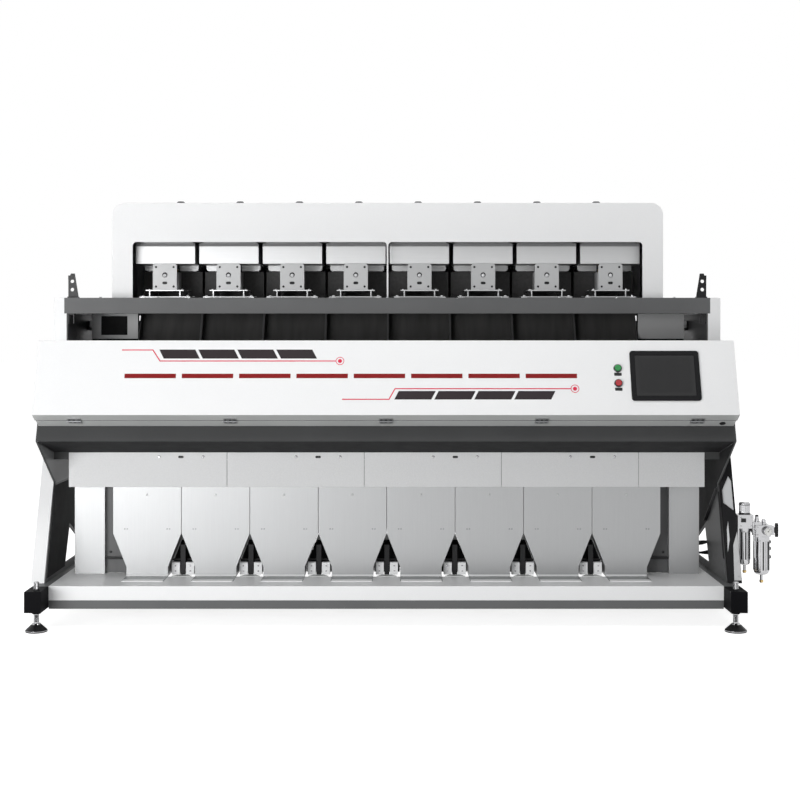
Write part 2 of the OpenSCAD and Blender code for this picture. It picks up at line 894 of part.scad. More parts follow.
rod_rise = 57;
rod_z = optic_floor + rod_rise;
front_rod = [chute_at(rod_z)[0] - optic_gap + 33, rod_z];
rear_rod = [chute_at(rod_z)[0] + optic_gap - 40, rod_z];

// Bars behind the chutes, and the rods that carry the wipers
module cross_bars() {
    bar_t = 25;
    bar_h = 40;
    low_bar = chute_low + 120;
    high_bar = low_bar + 330;
    color("#6d7073") {
        for (z = [low_bar, high_bar])
            along_x(chute_strip(z, z + bar_h, -chute_t - bar_t, -chute_t), -plate_in, plate_in);
        for (p = [front_rod, rear_rod]) translate([-plate_in, p[0], p[1]]) rotate([0, 90, 0])
            cylinder(d = rod_d, h = 2 * plate_in);
    }
}

// Wiper: a square bar on its rod with one blade for each lane, on the given side
module wiper(rod, side) {
    bar_w = rod_d + 10;
    parked = -lanes_half + 10;
    length = 2 * lanes_half - lane_pitch;
    blade_w = 60;
    blade_t = 4;
    reach = 18;
    blade_y = side < 0 ? -bar_w / 2 - reach : bar_w / 2;
    step = (length - blade_w) / (lane_n - 1);
    translate([parked, rod[0], rod[1]]) difference() {
        union() {
            translate([0, -bar_w / 2, -bar_w / 2]) cube([length, bar_w, bar_w]);
            for (i = [0 : lane_n - 1]) translate([i * step, blade_y, -blade_t / 2])
                cube([blade_w, reach, blade_t]);
        }
        translate([-past, 0, 0]) rotate([0, 90, 0]) cylinder(r = rod_d / 2 + run, h = length + 2 * past);
    }
}

module wipers() {
    color("#202224") {
        wiper(front_rod, -1);
        wiper(rear_rod, 1);
    }
}

// Grey panels beside the chutes; the left one has a window
module end_panels() {
    panel_t = 3;
    panel_y = chute_at(beam_z)[0] - 90;
    panel_low = optic_top + 12;
    panel_in = lanes_half + 6;
    panel_out = plate_in - rail_w;
    window_w = panel_out - panel_in - 106;
    window_out = panel_out - 50;
    window_low = panel_low + 20;
    window_h = 100;
    color("#8d8f92") difference() {
        both_sides()
            block([panel_in, panel_y, panel_low], [panel_out, panel_y + panel_t, beam_top - shelf_t]);
        block([-window_out, panel_y - past, window_low],
              [-window_out + window_w, panel_y + panel_t + past, window_low + window_h]);
    }
}

// Lower beam: fixed lip, front face, sloping underside and the strip covers' flange
beam_path = [
    cover_low + lip_dir * (lip_len / 2 + seam / 2), lip_low, face_low,
    under_low + unit(under_low - face_low) * (strip_t + flange_t)
];
lock_x = plate_in - 58;
lock_v = 27;

module lower_beam_profile() {
    flange_y = under_low[0] + strip_t;
    along_x(sheet(beam_path, fold_t), -plate_in, plate_in);
    bar(plate_in, [flange_y, strip_top - flange_h], [flange_y + flange_t, under_low[1]]);
}

module front_lower_beam() {
    color("#3f4144") difference() {
        lower_beam_profile();
        on_hinge(lock_x) translate([0, lock_v, 0]) cylinder(r = lock_r + run, h = 4 * fold_t);
    }
}

module rear_lower_beam() {
    color("#3f4144") mirror([0, 1, 0]) lower_beam_profile();
}

// Heights of the long windows in the optical boxes, and the panes' lap over their edges
pane_low = optic_floor + 20;
pane_high = optic_floor + 92;
pane_lap = 12;
box_foot = 25;

function optic_wall(z, side) = [chute_at(z)[0] + side * optic_gap, z];

// Optical box: folded sheet with a long window towards the chutes
module optic_box(path, side) {
    mid = optic_wall((pane_low + pane_high) / 2, side)[0];
    reach = 60;
    difference() {
        along_x(sheet(path, -optic_t), -plate_in, plate_in);
        bar(lanes_half, [mid - reach, pane_low], [mid + reach, pane_high]);
    }
}

module front_optic_box() {
    color("#55585b") optic_box([
        [box_edge_top[0], optic_top], optic_wall(optic_top, -1), optic_wall(optic_floor, -1),
        [lip_low[0] + box_foot, optic_floor]
    ], -1);
}

// The back box leans away from the chutes in the same way, behind them
module rear_optic_box() {
    color("#55585b") optic_box([
        [-lip_low[0] - box_foot, optic_floor], optic_wall(optic_floor, 1), optic_wall(optic_top, 1),
        [-box_edge_top[0], optic_top]
    ], 1);
}

// Glass panes inside the two windows
module optic_glass() {
    low = pane_low - pane_lap;
    high = pane_high + pane_lap;
    half = lanes_half + 15;
    color("#bcd3d8", 0.4) for (side = [-1, 1]) {
        near = -side * optic_t * chute_up;
        far = -side * (optic_t + glass_t) * chute_up;
        along_x([
            optic_wall(low, side) + near, optic_wall(high, side) + near,
            optic_wall(high, side) + far, optic_wall(low, side) + far
        ], -half, half);
    }
}

// Camera: body on a post, lens towards the chutes
module camera() {
    post = 50;
    rise = 70;
    body = [84, 120, 76];
    lens_r = 26;
    lens_l = 60;
    z = optic_floor + optic_t;
    union() {
        bar(post / 2, [-post / 2, z], [post / 2, z + rise]);
        bar(body[0] / 2, [-body[1] / 2, z + rise], [body[1] / 2, z + rise + body[2]]);
        translate([0, body[1] / 2, z + rise + body[2] / 2]) rotate([-90, 0, 0])
            cylinder(r = lens_r, h = lens_l);
    }
}

module cameras() {
    front_y = lip_low[0] + 245;
    back_y = -lip_low[0] - 185;
    color("#26282b") each_lane() {
        translate([0, front_y, 0]) camera();
        translate([0, back_y, 0]) mirror([0, 1, 0]) camera();
    }
}

// Light tubes under the roof and on the floor of each optical box
module lamps() {
    inset = optic_t + gap + tube_r;
    wall_gap = 100;
    color("#e9edf0") for (side = [-1, 1], z = [optic_floor + inset, optic_top - inset])
        translate([-lanes_half, optic_wall(z, side)[0] + side * wall_gap, z]) rotate([0, 90, 0])
            cylinder(r = tube_r, h = 2 * lanes_half);
}

// Back of the valve blocks, behind the rear optical box's wall
valve_back = optic_wall(optic_floor, 1)[0] + 60;

// Ejector bar with its nose at the falling product, and one valve block for each lane
module ejector_bank() {
    fall_gap = 25;
    bar_d = 60;
    bar_h = 60;
    taper = 22;
    nose_low = 45;
    nose_high = 33;
    valve_in = 12;
    valve_h = 52;
    top = optic_floor;
    nose = chute_at(top - 40)[0] + fall_gap;
    color("#787b7e") {
        along_x([
            [nose, top - nose_low], [nose + taper, top - bar_h], [nose + bar_d, top - bar_h],
            [nose + bar_d, top], [nose + taper, top], [nose, top - nose_high]
        ], -lanes_half, lanes_half);
        each_lane() bar(lane_pitch / 2 - valve_in, [nose + bar_d, top - valve_h], [valve_back, top]);
    }
}

tank_gap = 73;
tank_y = valve_back + tank_gap + tank_r;
tank_z = optic_floor - gap - tank_r;
tank_half = lanes_half + 130;

module air_tank() {
    dish = 14;
    length = 2 * tank_half;
    color("#8f9194") translate([-tank_half, tank_y, tank_z]) rotate([0, 90, 0]) rotate_extrude()
        polygon([
            [0, 0], [tank_r - dish, 0], [tank_r, dish], [tank_r, length - dish],
            [tank_r - dish, length], [0, length]
        ]);
}

// Strip covers under the front beam, with fixing holes and slots
module strip_covers() {
    half = lanes_half + 210;
    joint_gap = 2;
    joint_shift = 108;
    joints = [for (k = [-1 : 2]) 2 * k * lane_pitch - joint_shift];
    edges = concat([-half], joints, [half]);
    mark_z = strip_top - 21;
    mark_x = 106;
    hole_r = 4;
    slot_w = 22;
    color("#ededed") difference() {
        for (k = [0 : 4])
            block([edges[k] + joint_gap / 2, strip_y, strip_top - strip_h],
                  [edges[k + 1] - joint_gap / 2, strip_y + strip_t, strip_top]);
        for (k = [-3, -1, 1, 3])
            translate([k * lane_pitch, strip_y + strip_t + past, mark_z]) rotate([90, 0, 0]) {
                for (s = [-1, 1]) translate([s * mark_x, 0, 0]) cylinder(r = hole_r, h = strip_t + 2 * past);
                linear_extrude(strip_t + 2 * past) slot(slot_w, hole_r);
            }
    }
}

// Outlets

// Outline of an outlet hopper, inset by d and past its open ends by e
function outlet_profile(d, e) = let (w = lane_pitch / 2 - 1 - d, s = spout_half - d) [
    [-w, outlet_top + e], [-w, deck_top + notch_h], [-s, deck_top + spout_h], [-s, deck_top - e],
    [s, deck_top - e], [s, deck_top + spout_h], [w, deck_top + notch_h], [w, outlet_top + e]
];

// Hopper with sloping cheeks that narrow to a spout
module outlet(y0, depth) {
    difference() {
        along_y(outlet_profile(0, 0), y0, y0 + depth);
        along_y(outlet_profile(outlet_t, past), y0 + outlet_t, y0 + depth - outlet_t);
    }
}

// Front row, each hopper with a flat toe on the deck
module reject_hoppers() {
    toe = 123;
    color("#d5d7d8") each_lane() union() {
        outlet(-outlet_front, reject_d);
        bar(spout_half, [-outlet_front - toe, deck_top], [-outlet_front + outlet_t, deck_top + outlet_t]);
    }
}

module accept_hoppers() {
    color("#c2c4c6") each_lane() outlet(-accept_front, accept_d);
}

// Posts beside the outlets, folded and open towards the back
module end_posts() {
    post_in = lanes_half + 56;
    post_y = -outlet_front + 82;
    post_d = 60;
    wall = 3;
    color("#f0f0f0") both_sides() translate([post_in, post_y, deck_top]) difference() {
        cube([post_w, post_d, outlet_h]);
        translate([wall, wall, -past]) cube([post_w - 2 * wall, post_d, outlet_h - wall + past]);
    }
}

// Front cover and its hinges

hinge_r = hinge_off - gap;
knuckles = 5;
leaf_h = 20;
leaf_t = 1.6;

// One leaf: knuckles with the given parity, on the given side of the axis
module hinge_leaf(side, parity) {
    step = hinge_w / knuckles;
    knuckle = step - gap;
    reach = hinge_r + gap;
    lap = reach + 1;
    mirror([0, side > 0 ? 0 : 1, 0]) {
        for (k = [parity : 2 : knuckles - 1]) translate([-hinge_w / 2 + k * step + gap / 2, 0, 0]) {
            rotate([0, 90, 0]) cylinder(r = hinge_r, h = knuckle);
            block([0, 0, hinge_r - leaf_t + gap], [knuckle, lap, hinge_off]);
        }
        bar(hinge_w / 2, [reach, hinge_off - leaf_t], [leaf_h, hinge_off]);
    }
}

module hinge_row() {
    for (k = [-2 : 2]) on_hinge(k * hinge_pitch) children();
}

// Fixed leaves with their pins
module hinge_base() {
    color("#6f7275") hinge_row() union() {
        hinge_leaf(1, 0);
        translate([-hinge_w / 2, 0, 0]) rotate([0, 90, 0]) cylinder(d = pin_d, h = hinge_w);
    }
}

// Leaves on the cover, bored for the pins
module hinge_leaves() {
    color("#6f7275") hinge_row() difference() {
        hinge_leaf(-1, 1);
        translate([-hinge_w, 0, 0]) rotate([0, 90, 0]) cylinder(r = pin_d / 2 + run, h = 2 * hinge_w);
    }
}

roof_play = 6;
cheek_back = 7;
cheek_rise = 22;
cover_path = [
    [box_edge_top[0] - roof_play, cover_top[1]], cover_top, cover_low,
    cover_low + lip_dir * (lip_len / 2 - seam / 2)
];
cheek = concat(cover_path, [lip_low + [-cheek_back, cheek_rise]]);

// Folded pan with two cheeks
module cover_pan() {
    along_x(sheet(cover_path, cover_t), -cover_half, cover_half);
    both_sides() along_x(cheek, cover_half - cover_t, cover_half);
}

screen_rim = 19;
screen_body = [screen_w - 2 * screen_rim, screen_h - 2 * screen_rim, screen_deep];
barrel_r = 11;

module front_cover() {
    play = 1;
    hole = [screen_body[0] + 2 * play, screen_body[1] + 2 * play, 6 * cover_t];
    color("#f4f4f4") difference() {
        cover_pan();
        on_face(screen_x, screen_v) cube(hole, center = true);
        for (k = [0, 1]) on_face(button_x, button_v + k * button_gap) translate([0, 0, -2 * cover_t])
            cylinder(r = barrel_r + gap, h = 4 * cover_t);
    }
}

// The back cover is a fixed pan of the same section, on tabs that lie against the side plates
module rear_cover() {
    tab_low = 120;
    tab_high = 200;
    tab_t = 3;
    tab_back = box_edge_top[0] + 20;
    tab_in = 1;
    lean = cover_lean / cover_h;
    color("#f4f4f4") mirror([0, 1, 0]) union() {
        cover_pan();
        both_sides() along_x([
            cover_low + [tab_low * lean + tab_in, tab_low], cover_low + [tab_high * lean + tab_in, tab_high],
            [tab_back, cover_z + tab_high], [tab_back, cover_z + tab_low]
        ], plate_in - tab_t, plate_in);
    }
}

// Bezel with a shallow recess for the pane, and the housing behind it
module touch_screen() {
    corner = 14;
    inset = 22;
    recess = 2;
    pane = [screen_w - 2 * inset, screen_h - 2 * inset, 2 * recess];
    color("#3c3f44") on_face(screen_x, screen_v) difference() {
        union() {
            linear_extrude(screen_out) round_rect(screen_w, screen_h, corner);
            translate([-screen_body[0] / 2, -screen_body[1] / 2, -screen_body[2]]) cube(screen_body);
        }
        translate([-pane[0] / 2, -pane[1] / 2, screen_out - recess]) cube(pane);
    }
}

collar_h = 9;
collar_floor = 1.2;

module button_collars() {
    collar_r = button_d / 2 + 3.5;
    barrel_l = 32;
    color("#17181a") for (k = [0, 1]) on_face(button_x, button_v + k * button_gap) difference() {
        union() {
            cylinder(r = collar_r, h = collar_h);
            translate([0, 0, -barrel_l]) cylinder(r = barrel_r, h = barrel_l + collar_floor);
        }
        translate([0, 0, collar_floor]) cylinder(r = button_d / 2 + run, h = collar_h);
    }
}

module button_cap(v) {
    rest = collar_floor + button_travel + gap;
    height = 8;
    edge = 1.5;
    r = button_d / 2;
    on_face(button_x, v) translate([0, 0, rest]) rotate_extrude()
        polygon([[0, 0], [r, 0], [r, height - edge], [r - edge, height], [0, height]]);
}

module green_button() { color("#1f9a4a") button_cap(button_v + button_gap); }
module red_button() { color("#c8242c") button_cap(button_v); }

// Lock plug through the fixed lip, with a key slot
module cover_lock() {
    head_r = lock_r + 3;
    head_h = 3;
    plug_l = fold_t + 14;
    key = [3, 12, 1];
    color("#141517") on_hinge(lock_x) translate([0, lock_v, hinge_off - gap - head_h]) difference() {
        union() {
            cylinder(r = head_r, h = head_h);
            cylinder(r = lock_r, h = head_h + plug_l - 1);
        }
        translate([-key[0] / 2, -key[1] / 2, -past]) cube([key[0], key[1], key[2] + past]);
    }
}

// Air unit on the right front leg

module air_bracket() {
    height = 285;
    half = 45;
    color("#b4b6b8")
        block([leg_out, air_y - half, air_z - height], [leg_out + bracket_t, air_y + half, air_z]);
}

// Bowl with a round bottom and its drain, mouth at z
module air_bowl(r, length, z) {
    drain_r = 7;
    drain_l = 38;
    dome = r / 2;
    foot = -length - drain_l;
    translate([0, 0, z]) rotate_extrude()
        polygon(concat(
            [[0, 0], [0, foot], [drain_r, foot], [drain_r, -length + 1]],
            [for (a = [15 : 15 : 90]) [drain_r + (r - drain_r) * sin(a), -length + dome * (1 - cos(a))]],
            [[r, 0]]
        ));
}

// Regulator head with its bowl, filter with its bowl, gauge and shut-off valve block
module air_filters() {
    head_h = 65;
    head_bowl = 180;
    filter_top = air_z - 50;
    filter_h = 55;
    filter_bowl = 187;
    link_half = 18;
    link_low = filter_top - 40;
    link_high = filter_top - 4;
    valve_half = 22;
    port_l = 20;
    gauge_r = 20;
    gauge_d = 22;
    gauge_x = filter_x + filter_r / 2;
    neck_r = 8;
    neck_l = 8;
    lap = 1;
    color("#8d9093") {
        translate([air_x, air_y, 0]) {
            bar(head_w / 2, [-head_w / 2, air_z - head_h], [head_w / 2, air_z]);
            air_bowl(bowl_r, head_bowl, air_z - head_h + lap);
        }
        translate([filter_x, air_y, 0]) {
            bar(filter_r, [-filter_r, filter_top - filter_h], [filter_r, filter_top]);
            air_bowl(filter_r, filter_bowl, filter_top - filter_h + lap);
        }
        block([air_x + head_w / 2, air_y - link_half, link_low],
              [filter_x - filter_r, air_y + link_half, link_high]);
        translate([valve_x, air_y, valve_z]) difference() {
            block([0, -valve_half, -valve_half], [valve_w, valve_half, valve_half]);
            translate([valve_w / 2, 0, -valve_half - past]) cylinder(r = port_r, h = port_l + past);
        }
        translate([gauge_x, air_y - filter_r, valve_z]) rotate([90, 0, 0]) {
            cylinder(r = neck_r, h = gauge_d);
            translate([0, 0, neck_l]) cylinder(r = gauge_r, h = gauge_d - neck_l);
        }
    }
}

// Knob with a fluted grip
module regulator_knob() {
    flutes = 12;
    flute_r = 2.5;
    flute_out = 0.8;
    flute_low = 14;
    flute_h = knob_h - 24;
    foot_in = 4;
    foot_h = 8;
    top_in = 5;
    top_h = 6;
    r = knob_d / 2;
    color("#55585b") translate([air_x, air_y, air_z + gap]) difference() {
        rotate_extrude() polygon([
            [0, 0], [r - foot_in, 0], [r, foot_h], [r, knob_h - top_h], [r - top_in, knob_h], [0, knob_h]
        ]);
        for (k = [0 : flutes - 1]) rotate(k * 360 / flutes) translate([r + flute_out, 0, flute_low])
            cylinder(r = flute_r, h = flute_h);
    }
}

module valve_handle() {
    hub_r = 13;
    lever_w = 22;
    lever_l = 67;
    lever_r = 10;
    color("#17181a") translate([handle_x, air_y, valve_z]) rotate([0, 90, 0]) union() {
        cylinder(r = hub_r, h = handle_stem + lever_t);
        translate([0, 0, handle_stem]) linear_extrude(lever_t) round_rect(lever_l, lever_w, lever_r);
    }
}

// Air hoses from the regulator through the side window to the tank, as points from the regulator's top
hose_start = [air_x, air_y, air_z];
hose_front = head_w / 2 + 1;
hose_a_x = air_x - 284;
hose_b_x = air_x - 350;
hose_end = tank_z - tank_r - 2 * gap;
hose_a = concat(
    [for (p = [
        [0, hose_front, -20], [0, 90, -26], [2, 190, -70], [-10, 290, -140], [-70, 350, -178],
        [-150, 375, -195], [-235, 420, -195], [-275, 540, -150], [-284, 690, 20]
    ]) hose_start + p],
    [for (z = [air_z + 220, air_z + 280, hose_end]) [hose_a_x, tank_y, z]]
);
hose_b = concat(
    [for (p = [
        [0, hose_front, -50], [0, 80, -62], [2, 170, -130], [-6, 290, -205], [-60, 380, -240],
        [-150, 430, -252], [-260, 480, -250], [-335, 590, -190], [-350, 710, -10]
    ]) hose_start + p],
    [for (z = [air_z + 200, air_z + 270, hose_end]) [hose_b_x, tank_y, z]]
);

// Point of a smooth curve through the points p, at the fraction t of segment i
function spline(p, i, t) =
    let (a = p[max(i - 1, 0)], b = p[i], c = p[i + 1], d = p[min(i + 2, len(p) - 1)])
    0.5 * (2 * b + (c - a) * t + (2 * a - 5 * b + 4 * c - d) * t * t + (3 * b - a - 3 * c + d) * t * t * t);
function curve(p) = concat([for (i = [0 : len(p) - 2], t = [0, 0.5]) spline(p, i, t)], [p[len(p) - 1]]);
function tangent(c, i) = unit(c[min(i + 1, len(c) - 1)] - c[max(i - 1, 0)]);
function ring(c, i, r, n) =
    let (t = tangent(c, i), side = unit(cross(t, abs(t[0]) > 0.9 ? [0, 0, 1] : [1, 0, 0])))
    let (up = cross(side, t))
    [for (k = [0 : n - 1]) c[i] + r * (cos(360 * k / n) * side + sin(360 * k / n) * up)];

module hose(points) {
    sides = 8;
    c = curve(points);
    m = len(c);
    rings = [for (i = [0 : m - 1]) each ring(c, i, hose_d / 2, sides)];
    walls = [for (i = [0 : m - 2], k = [0 : sides - 1])
        let (j = (k + 1) % sides)
        [i * sides + k, (i + 1) * sides + k, (i + 1) * sides + j, i * sides + j]];
    ends = [[for (k = [0 : sides - 1]) k], [for (k = [sides - 1 : -1 : 0]) (m - 1) * sides + k]];
    polyhedron(rings, concat(walls, ends));
}

module air_hoses() {
    color("#1b1c1e") {
        hose(hose_a);
        hose(hose_b);
    }
}

// The origin is under the middle of the whole machine, air unit included
module placed() {
    translate([machine_x, 0, 0]) children();
}

placed() base_frame();
placed() foot_blocks();
placed() base_deck();
placed() side_plates();
placed() left_legs();
placed() right_legs();
placed() side_boxes();
placed() top_beam();
placed() upper_frame();
placed() upper_brackets();
placed() hopper_front();
placed() hopper_shell();
placed() hopper_bin();
placed() level_sensors();
placed() feeder_mounts();
placed() feeder_drives();
placed() feeder_springs();
placed() feeder_tray_1();
placed() feeder_tray_2();
placed() feeder_tray_3();
placed() feeder_tray_4();
placed() feeder_tray_5();
placed() feeder_tray_6();
placed() feeder_tray_7();
placed() feeder_tray_8();
placed() chutes();
placed() cross_bars();
placed() end_panels();
placed() front_lower_beam();
placed() rear_lower_beam();
placed() front_optic_box();
placed() rear_optic_box();
placed() optic_glass();
placed() cameras();
placed() lamps();
placed() ejector_bank();
placed() air_tank();
placed() wipers();
placed() strip_covers();
placed() reject_hoppers();
placed() accept_hoppers();
placed() end_posts();
placed() hinge_base();
placed() hinge_leaves();
placed() front_cover();
placed() rear_cover();
placed() touch_screen();
placed() button_collars();
placed() green_button();
placed() red_button();
placed() cover_lock();
placed() foot_1();
placed() foot_2();
placed() foot_3();
placed() foot_4();
placed() air_bracket();
placed() air_filters();
placed() regulator_knob();
placed() valve_handle();
placed() air_hoses();
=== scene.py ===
"""Looks of the optical colour sorter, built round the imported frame."""
import math
from functools import partial

import bmesh
import bpy
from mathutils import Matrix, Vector


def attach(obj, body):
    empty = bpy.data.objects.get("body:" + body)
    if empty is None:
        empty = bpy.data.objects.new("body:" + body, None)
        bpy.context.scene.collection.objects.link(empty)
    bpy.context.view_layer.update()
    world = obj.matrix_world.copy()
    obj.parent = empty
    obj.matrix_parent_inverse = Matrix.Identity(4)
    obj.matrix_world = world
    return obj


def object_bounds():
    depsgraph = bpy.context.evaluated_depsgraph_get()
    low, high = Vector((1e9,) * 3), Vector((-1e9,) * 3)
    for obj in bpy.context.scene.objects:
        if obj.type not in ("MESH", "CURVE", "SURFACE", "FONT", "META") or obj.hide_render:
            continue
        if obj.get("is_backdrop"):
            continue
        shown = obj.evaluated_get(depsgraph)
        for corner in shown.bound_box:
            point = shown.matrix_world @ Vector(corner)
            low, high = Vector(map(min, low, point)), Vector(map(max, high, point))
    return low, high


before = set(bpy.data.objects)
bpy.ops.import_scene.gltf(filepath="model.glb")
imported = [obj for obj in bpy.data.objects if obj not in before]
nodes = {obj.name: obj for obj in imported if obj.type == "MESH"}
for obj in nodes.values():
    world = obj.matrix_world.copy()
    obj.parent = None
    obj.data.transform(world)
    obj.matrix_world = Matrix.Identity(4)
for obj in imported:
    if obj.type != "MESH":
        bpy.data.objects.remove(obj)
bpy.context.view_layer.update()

# Driving dimensions in machine millimetres: X from the middle plane of the lanes, Y to the back, Z up
PITCH = 330.0
LANES = [(i - 3.5) * PITCH for i in range(8)]
LANES_HALF = 4 * PITCH

# Front cover and lip: pairs are (y, z), and SCREEN holds two corners (x, v) with v up the cover's slope
COVER_FOOT = (-825.0, 1000.0)
COVER_RUN = 123.0
COVER_RISE = 337.0
LIP_RUN = 100.0
LIP_DROP = 57.0
LIP_DEPTH = 5.0
HINGE_AXIS = (-777.476, 967.156)
HINGE_PITCH = 712.0
SCREEN = (1121, 67, 1437, 305)
BUTTON_X = 1063.0

# Side plates, deck, strip covers and outlets with the notches between them
PLATE_IN = 1602.0
DECK_TOP = 197.0
STRIP_FRONT = -441.0
STRIP_BACK = -438.0
OUTLET_FRONT = -427.0
NOTCH_HALF = 65.0
NOTCH_KNEE = 244.0
NOTCH_TOP = 405.0

# Feeders and chutes: CHUTE_TOP is (y, z)
BEAM_TOP = 1549.0
MOUNT_TOP = BEAM_TOP + 47
DRIVE_FRONT = 80.0
DRIVE_Z = 1663.5
TRAY_FRONT = 100.0
CHUTE_TOP = (300.0, 1399.0)
LENS_Z = 1055.0

# Legs and feet: LEG_FOOT is (y, z), FOOT_PLACE is (x, y)
LEG_OUT = 1672.0
LEG_FOOT = (-598.0, 195.0)
LEG_SLOPE = 0.398
POCKET_X = 1616.0
POCKET_DEPTH = 8.0
FOOT_PLACE = (1605.5, 748.5)

# Hopper
HOPPER_BACK = 700.0
HOPPER_SIDE = 1417.0
INLET_Y = 254.0

# Air unit: GAUGE is (x, z)
AIR_X = 1714.0
AIR_Y = -470.0
FILTER_X = 1795.0
FILTER_FRONT = -506.0
GAUGE = (1813.0, 428.0)
GAUGE_FRONT = -528.0
HANDLE_Z = 428.0

# Gap between a piece and the surface that carries it, and the thickness of printed films
SEAT = 0.05
FILM = 0.35

# X of the middle plane in the frame, and what rounds the CAD nodes' edges, in metres
MIDDLE = -0.10065
WELD_GAP = 0.00002
FINE_EDGE = 0.0003
PLAIN_EDGE = 0.0008

FACE_ANGLE = math.atan2(COVER_RISE, COVER_RUN)
LIP_ANGLE = math.atan2(-LIP_DROP, LIP_RUN)
LEG_ANGLE = math.atan(LEG_SLOPE)
RIGHT = Vector((1, 0, 0))
BACK = Vector((0, 1, 0))
UP = Vector((0, 0, 1))
FRONT = -BACK
DOWN = -UP
FACE_OUT = Vector((0, -math.sin(FACE_ANGLE), math.cos(FACE_ANGLE)))
REAR_OUT = Vector((0, math.sin(FACE_ANGLE), math.cos(FACE_ANGLE)))
LIP_OUT = Vector((0, math.sin(LIP_ANGLE), -math.cos(LIP_ANGLE)))
BEAM_UNDER = Vector((0, -0.2315, -0.9728))
CHUTE_UP = Vector((0, 0.5, math.sqrt(0.75)))
CHUTE_OUT = Vector((0, -math.sqrt(0.75), 0.5))
LEG_UP = Vector((0, math.sin(LEG_ANGLE), math.cos(LEG_ANGLE)))
LEG_FACE = Vector((0, -math.cos(LEG_ANGLE), math.sin(LEG_ANGLE)))


# Places on the machine

def mm(x, y, z):
    """Machine millimetres to a point in the frame."""
    return Vector((MIDDLE + x / 1000, y / 1000, z / 1000))


def on_face(x, v, out=0.0):
    """Point on the front cover: x across, v up the slope, out in front of it."""
    c, s = math.cos(FACE_ANGLE), math.sin(FACE_ANGLE)
    return mm(x, COVER_FOOT[0] + v * c - out * s, COVER_FOOT[1] + v * s + out * c)


def on_lip(x, down, out=0.0):
    """Point on the lip: down from the hinge axis along the lip, out from its face."""
    c, s = math.cos(LIP_ANGLE), math.sin(LIP_ANGLE)
    depth = LIP_DEPTH - out
    return mm(x, HINGE_AXIS[0] + down * c - depth * s, HINGE_AXIS[1] + down * s + depth * c)


def on_leg(z0, across, up):
    """Point on a pocket's floor in the right leg: up the leg from the height z0."""
    start = mm(POCKET_X + across, LEG_FOOT[0] + (z0 - LEG_FOOT[1]) * LEG_SLOPE + POCKET_DEPTH, z0)
    return start + LEG_UP * (up / 1000)


def front_plane(y):
    """Function of (x, z) on an upright plane across the machine."""
    return lambda x, z: mm(x, y, z)


def side_plane(x):
    """Function of (y, z) on an upright plane along the machine."""
    return lambda y, z: mm(x, y, z)


def level(z):
    """Function of (x, y) on a level plane."""
    return lambda x, y: mm(x, y, z)


def chute_y(z):
    """Y of the chutes' floor at a height: they slope by 60 degrees."""
    return CHUTE_TOP[0] + (z - CHUTE_TOP[1]) / math.sqrt(3)


def rear_y(z):
    """Y of the rear cover's face at a height."""
    return -COVER_FOOT[0] - (z - COVER_FOOT[1]) * COVER_RUN / COVER_RISE


def notch_half(z):
    """Half of the free width between two outlets at a height."""
    return NOTCH_HALF * min(1.0, (NOTCH_TOP - z) / (NOTCH_TOP - NOTCH_KNEE))


def outline(point, pairs):
    """Points through a function of two coordinates."""
    return [point(a, b) for a, b in pairs]


def rect(point, a0, b0, a1, b1):
    """Corners of a rectangle, through a function of two coordinates."""
    return outline(point, ((a0, b0), (a1, b0), (a1, b1), (a0, b1)))


def rounded(a0, b0, a1, b1, r, point, steps=6):
    """Rounded rectangle as points, through a function of two coordinates."""
    made = []
    corners = ((a1 - r, b1 - r, 0), (a0 + r, b1 - r, 90), (a0 + r, b0 + r, 180), (a1 - r, b0 + r, 270))
    for a, b, start in corners:
        for k in range(steps + 1):
            turn = math.radians(start + 90 * k / steps)
            made.append(point(a + r * math.cos(turn), b + r * math.sin(turn)))
    return made


def inset(box, by):
    """Rectangle made smaller on all four sides."""
    a0, b0, a1, b1 = box
    return a0 + by, b0 + by, a1 - by, b1 - by


# Profiles of (radius, height) for turned pieces

def disc(r, h):
    """Full disc."""
    return [(0, 0), (r, 0), (r, h), (0, h)]


def band(inner, outer, h):
    """Flat ring."""
    return [(inner, 0), (outer, 0), (outer, h), (inner, h), (inner, 0)]


def quarter_turn(r, rim, h, slot, slot_h, chamfer):
    """Round lock with a recessed middle."""
    return [(0, 0), (r, 0), (r, rim), (r - chamfer, h), (slot, h), (slot, slot_h), (0, slot_h)]


def thread(low, ridges, top):
    """Ridges round a bar of 12 mm radius."""
    core, root, ridge, rise = 11.9, 12.02, 0.9, 1.5
    made = [(root + ridge * (k % 2), low + rise * k) for k in range(ridges)]
    return [(core, low), *made, (core, top), (core, low)]


# Materials

def shader(name):
    """New material: (material, tree, Principled shader)."""
    made = bpy.data.materials.new(name)
    made.use_nodes = True
    tree = made.node_tree
    return made, tree, tree.nodes["Principled BSDF"]


def noise(tree, scale, stretch=(1, 1, 1), detail=4.0):
    """Noise in object coordinates, stretched along the axes: its value socket."""
    place = tree.nodes.new("ShaderNodeTexCoord")
    mapping = tree.nodes.new("ShaderNodeMapping")
    mapping.inputs["Scale"].default_value = stretch
    made = tree.nodes.new("ShaderNodeTexNoise")
    made.inputs["Scale"].default_value = scale
    made.inputs["Detail"].default_value = detail
    tree.links.new(place.outputs["Object"], mapping.inputs["Vector"])
    tree.links.new(mapping.outputs["Vector"], made.inputs["Vector"])
    return made.outputs["Fac"]


def tones(tree, value, dark, light, lo=0.3, hi=0.7):
    """Colour ramp between two tones: its colour socket."""
    ramp = tree.nodes.new("ShaderNodeValToRGB")
    ramp.color_ramp.elements[0].position = lo
    ramp.color_ramp.elements[0].color = (*dark, 1)
    ramp.color_ramp.elements[1].position = hi
    ramp.color_ramp.elements[1].color = (*light, 1)
    tree.links.new(value, ramp.inputs["Fac"])
    return ramp.outputs["Color"]


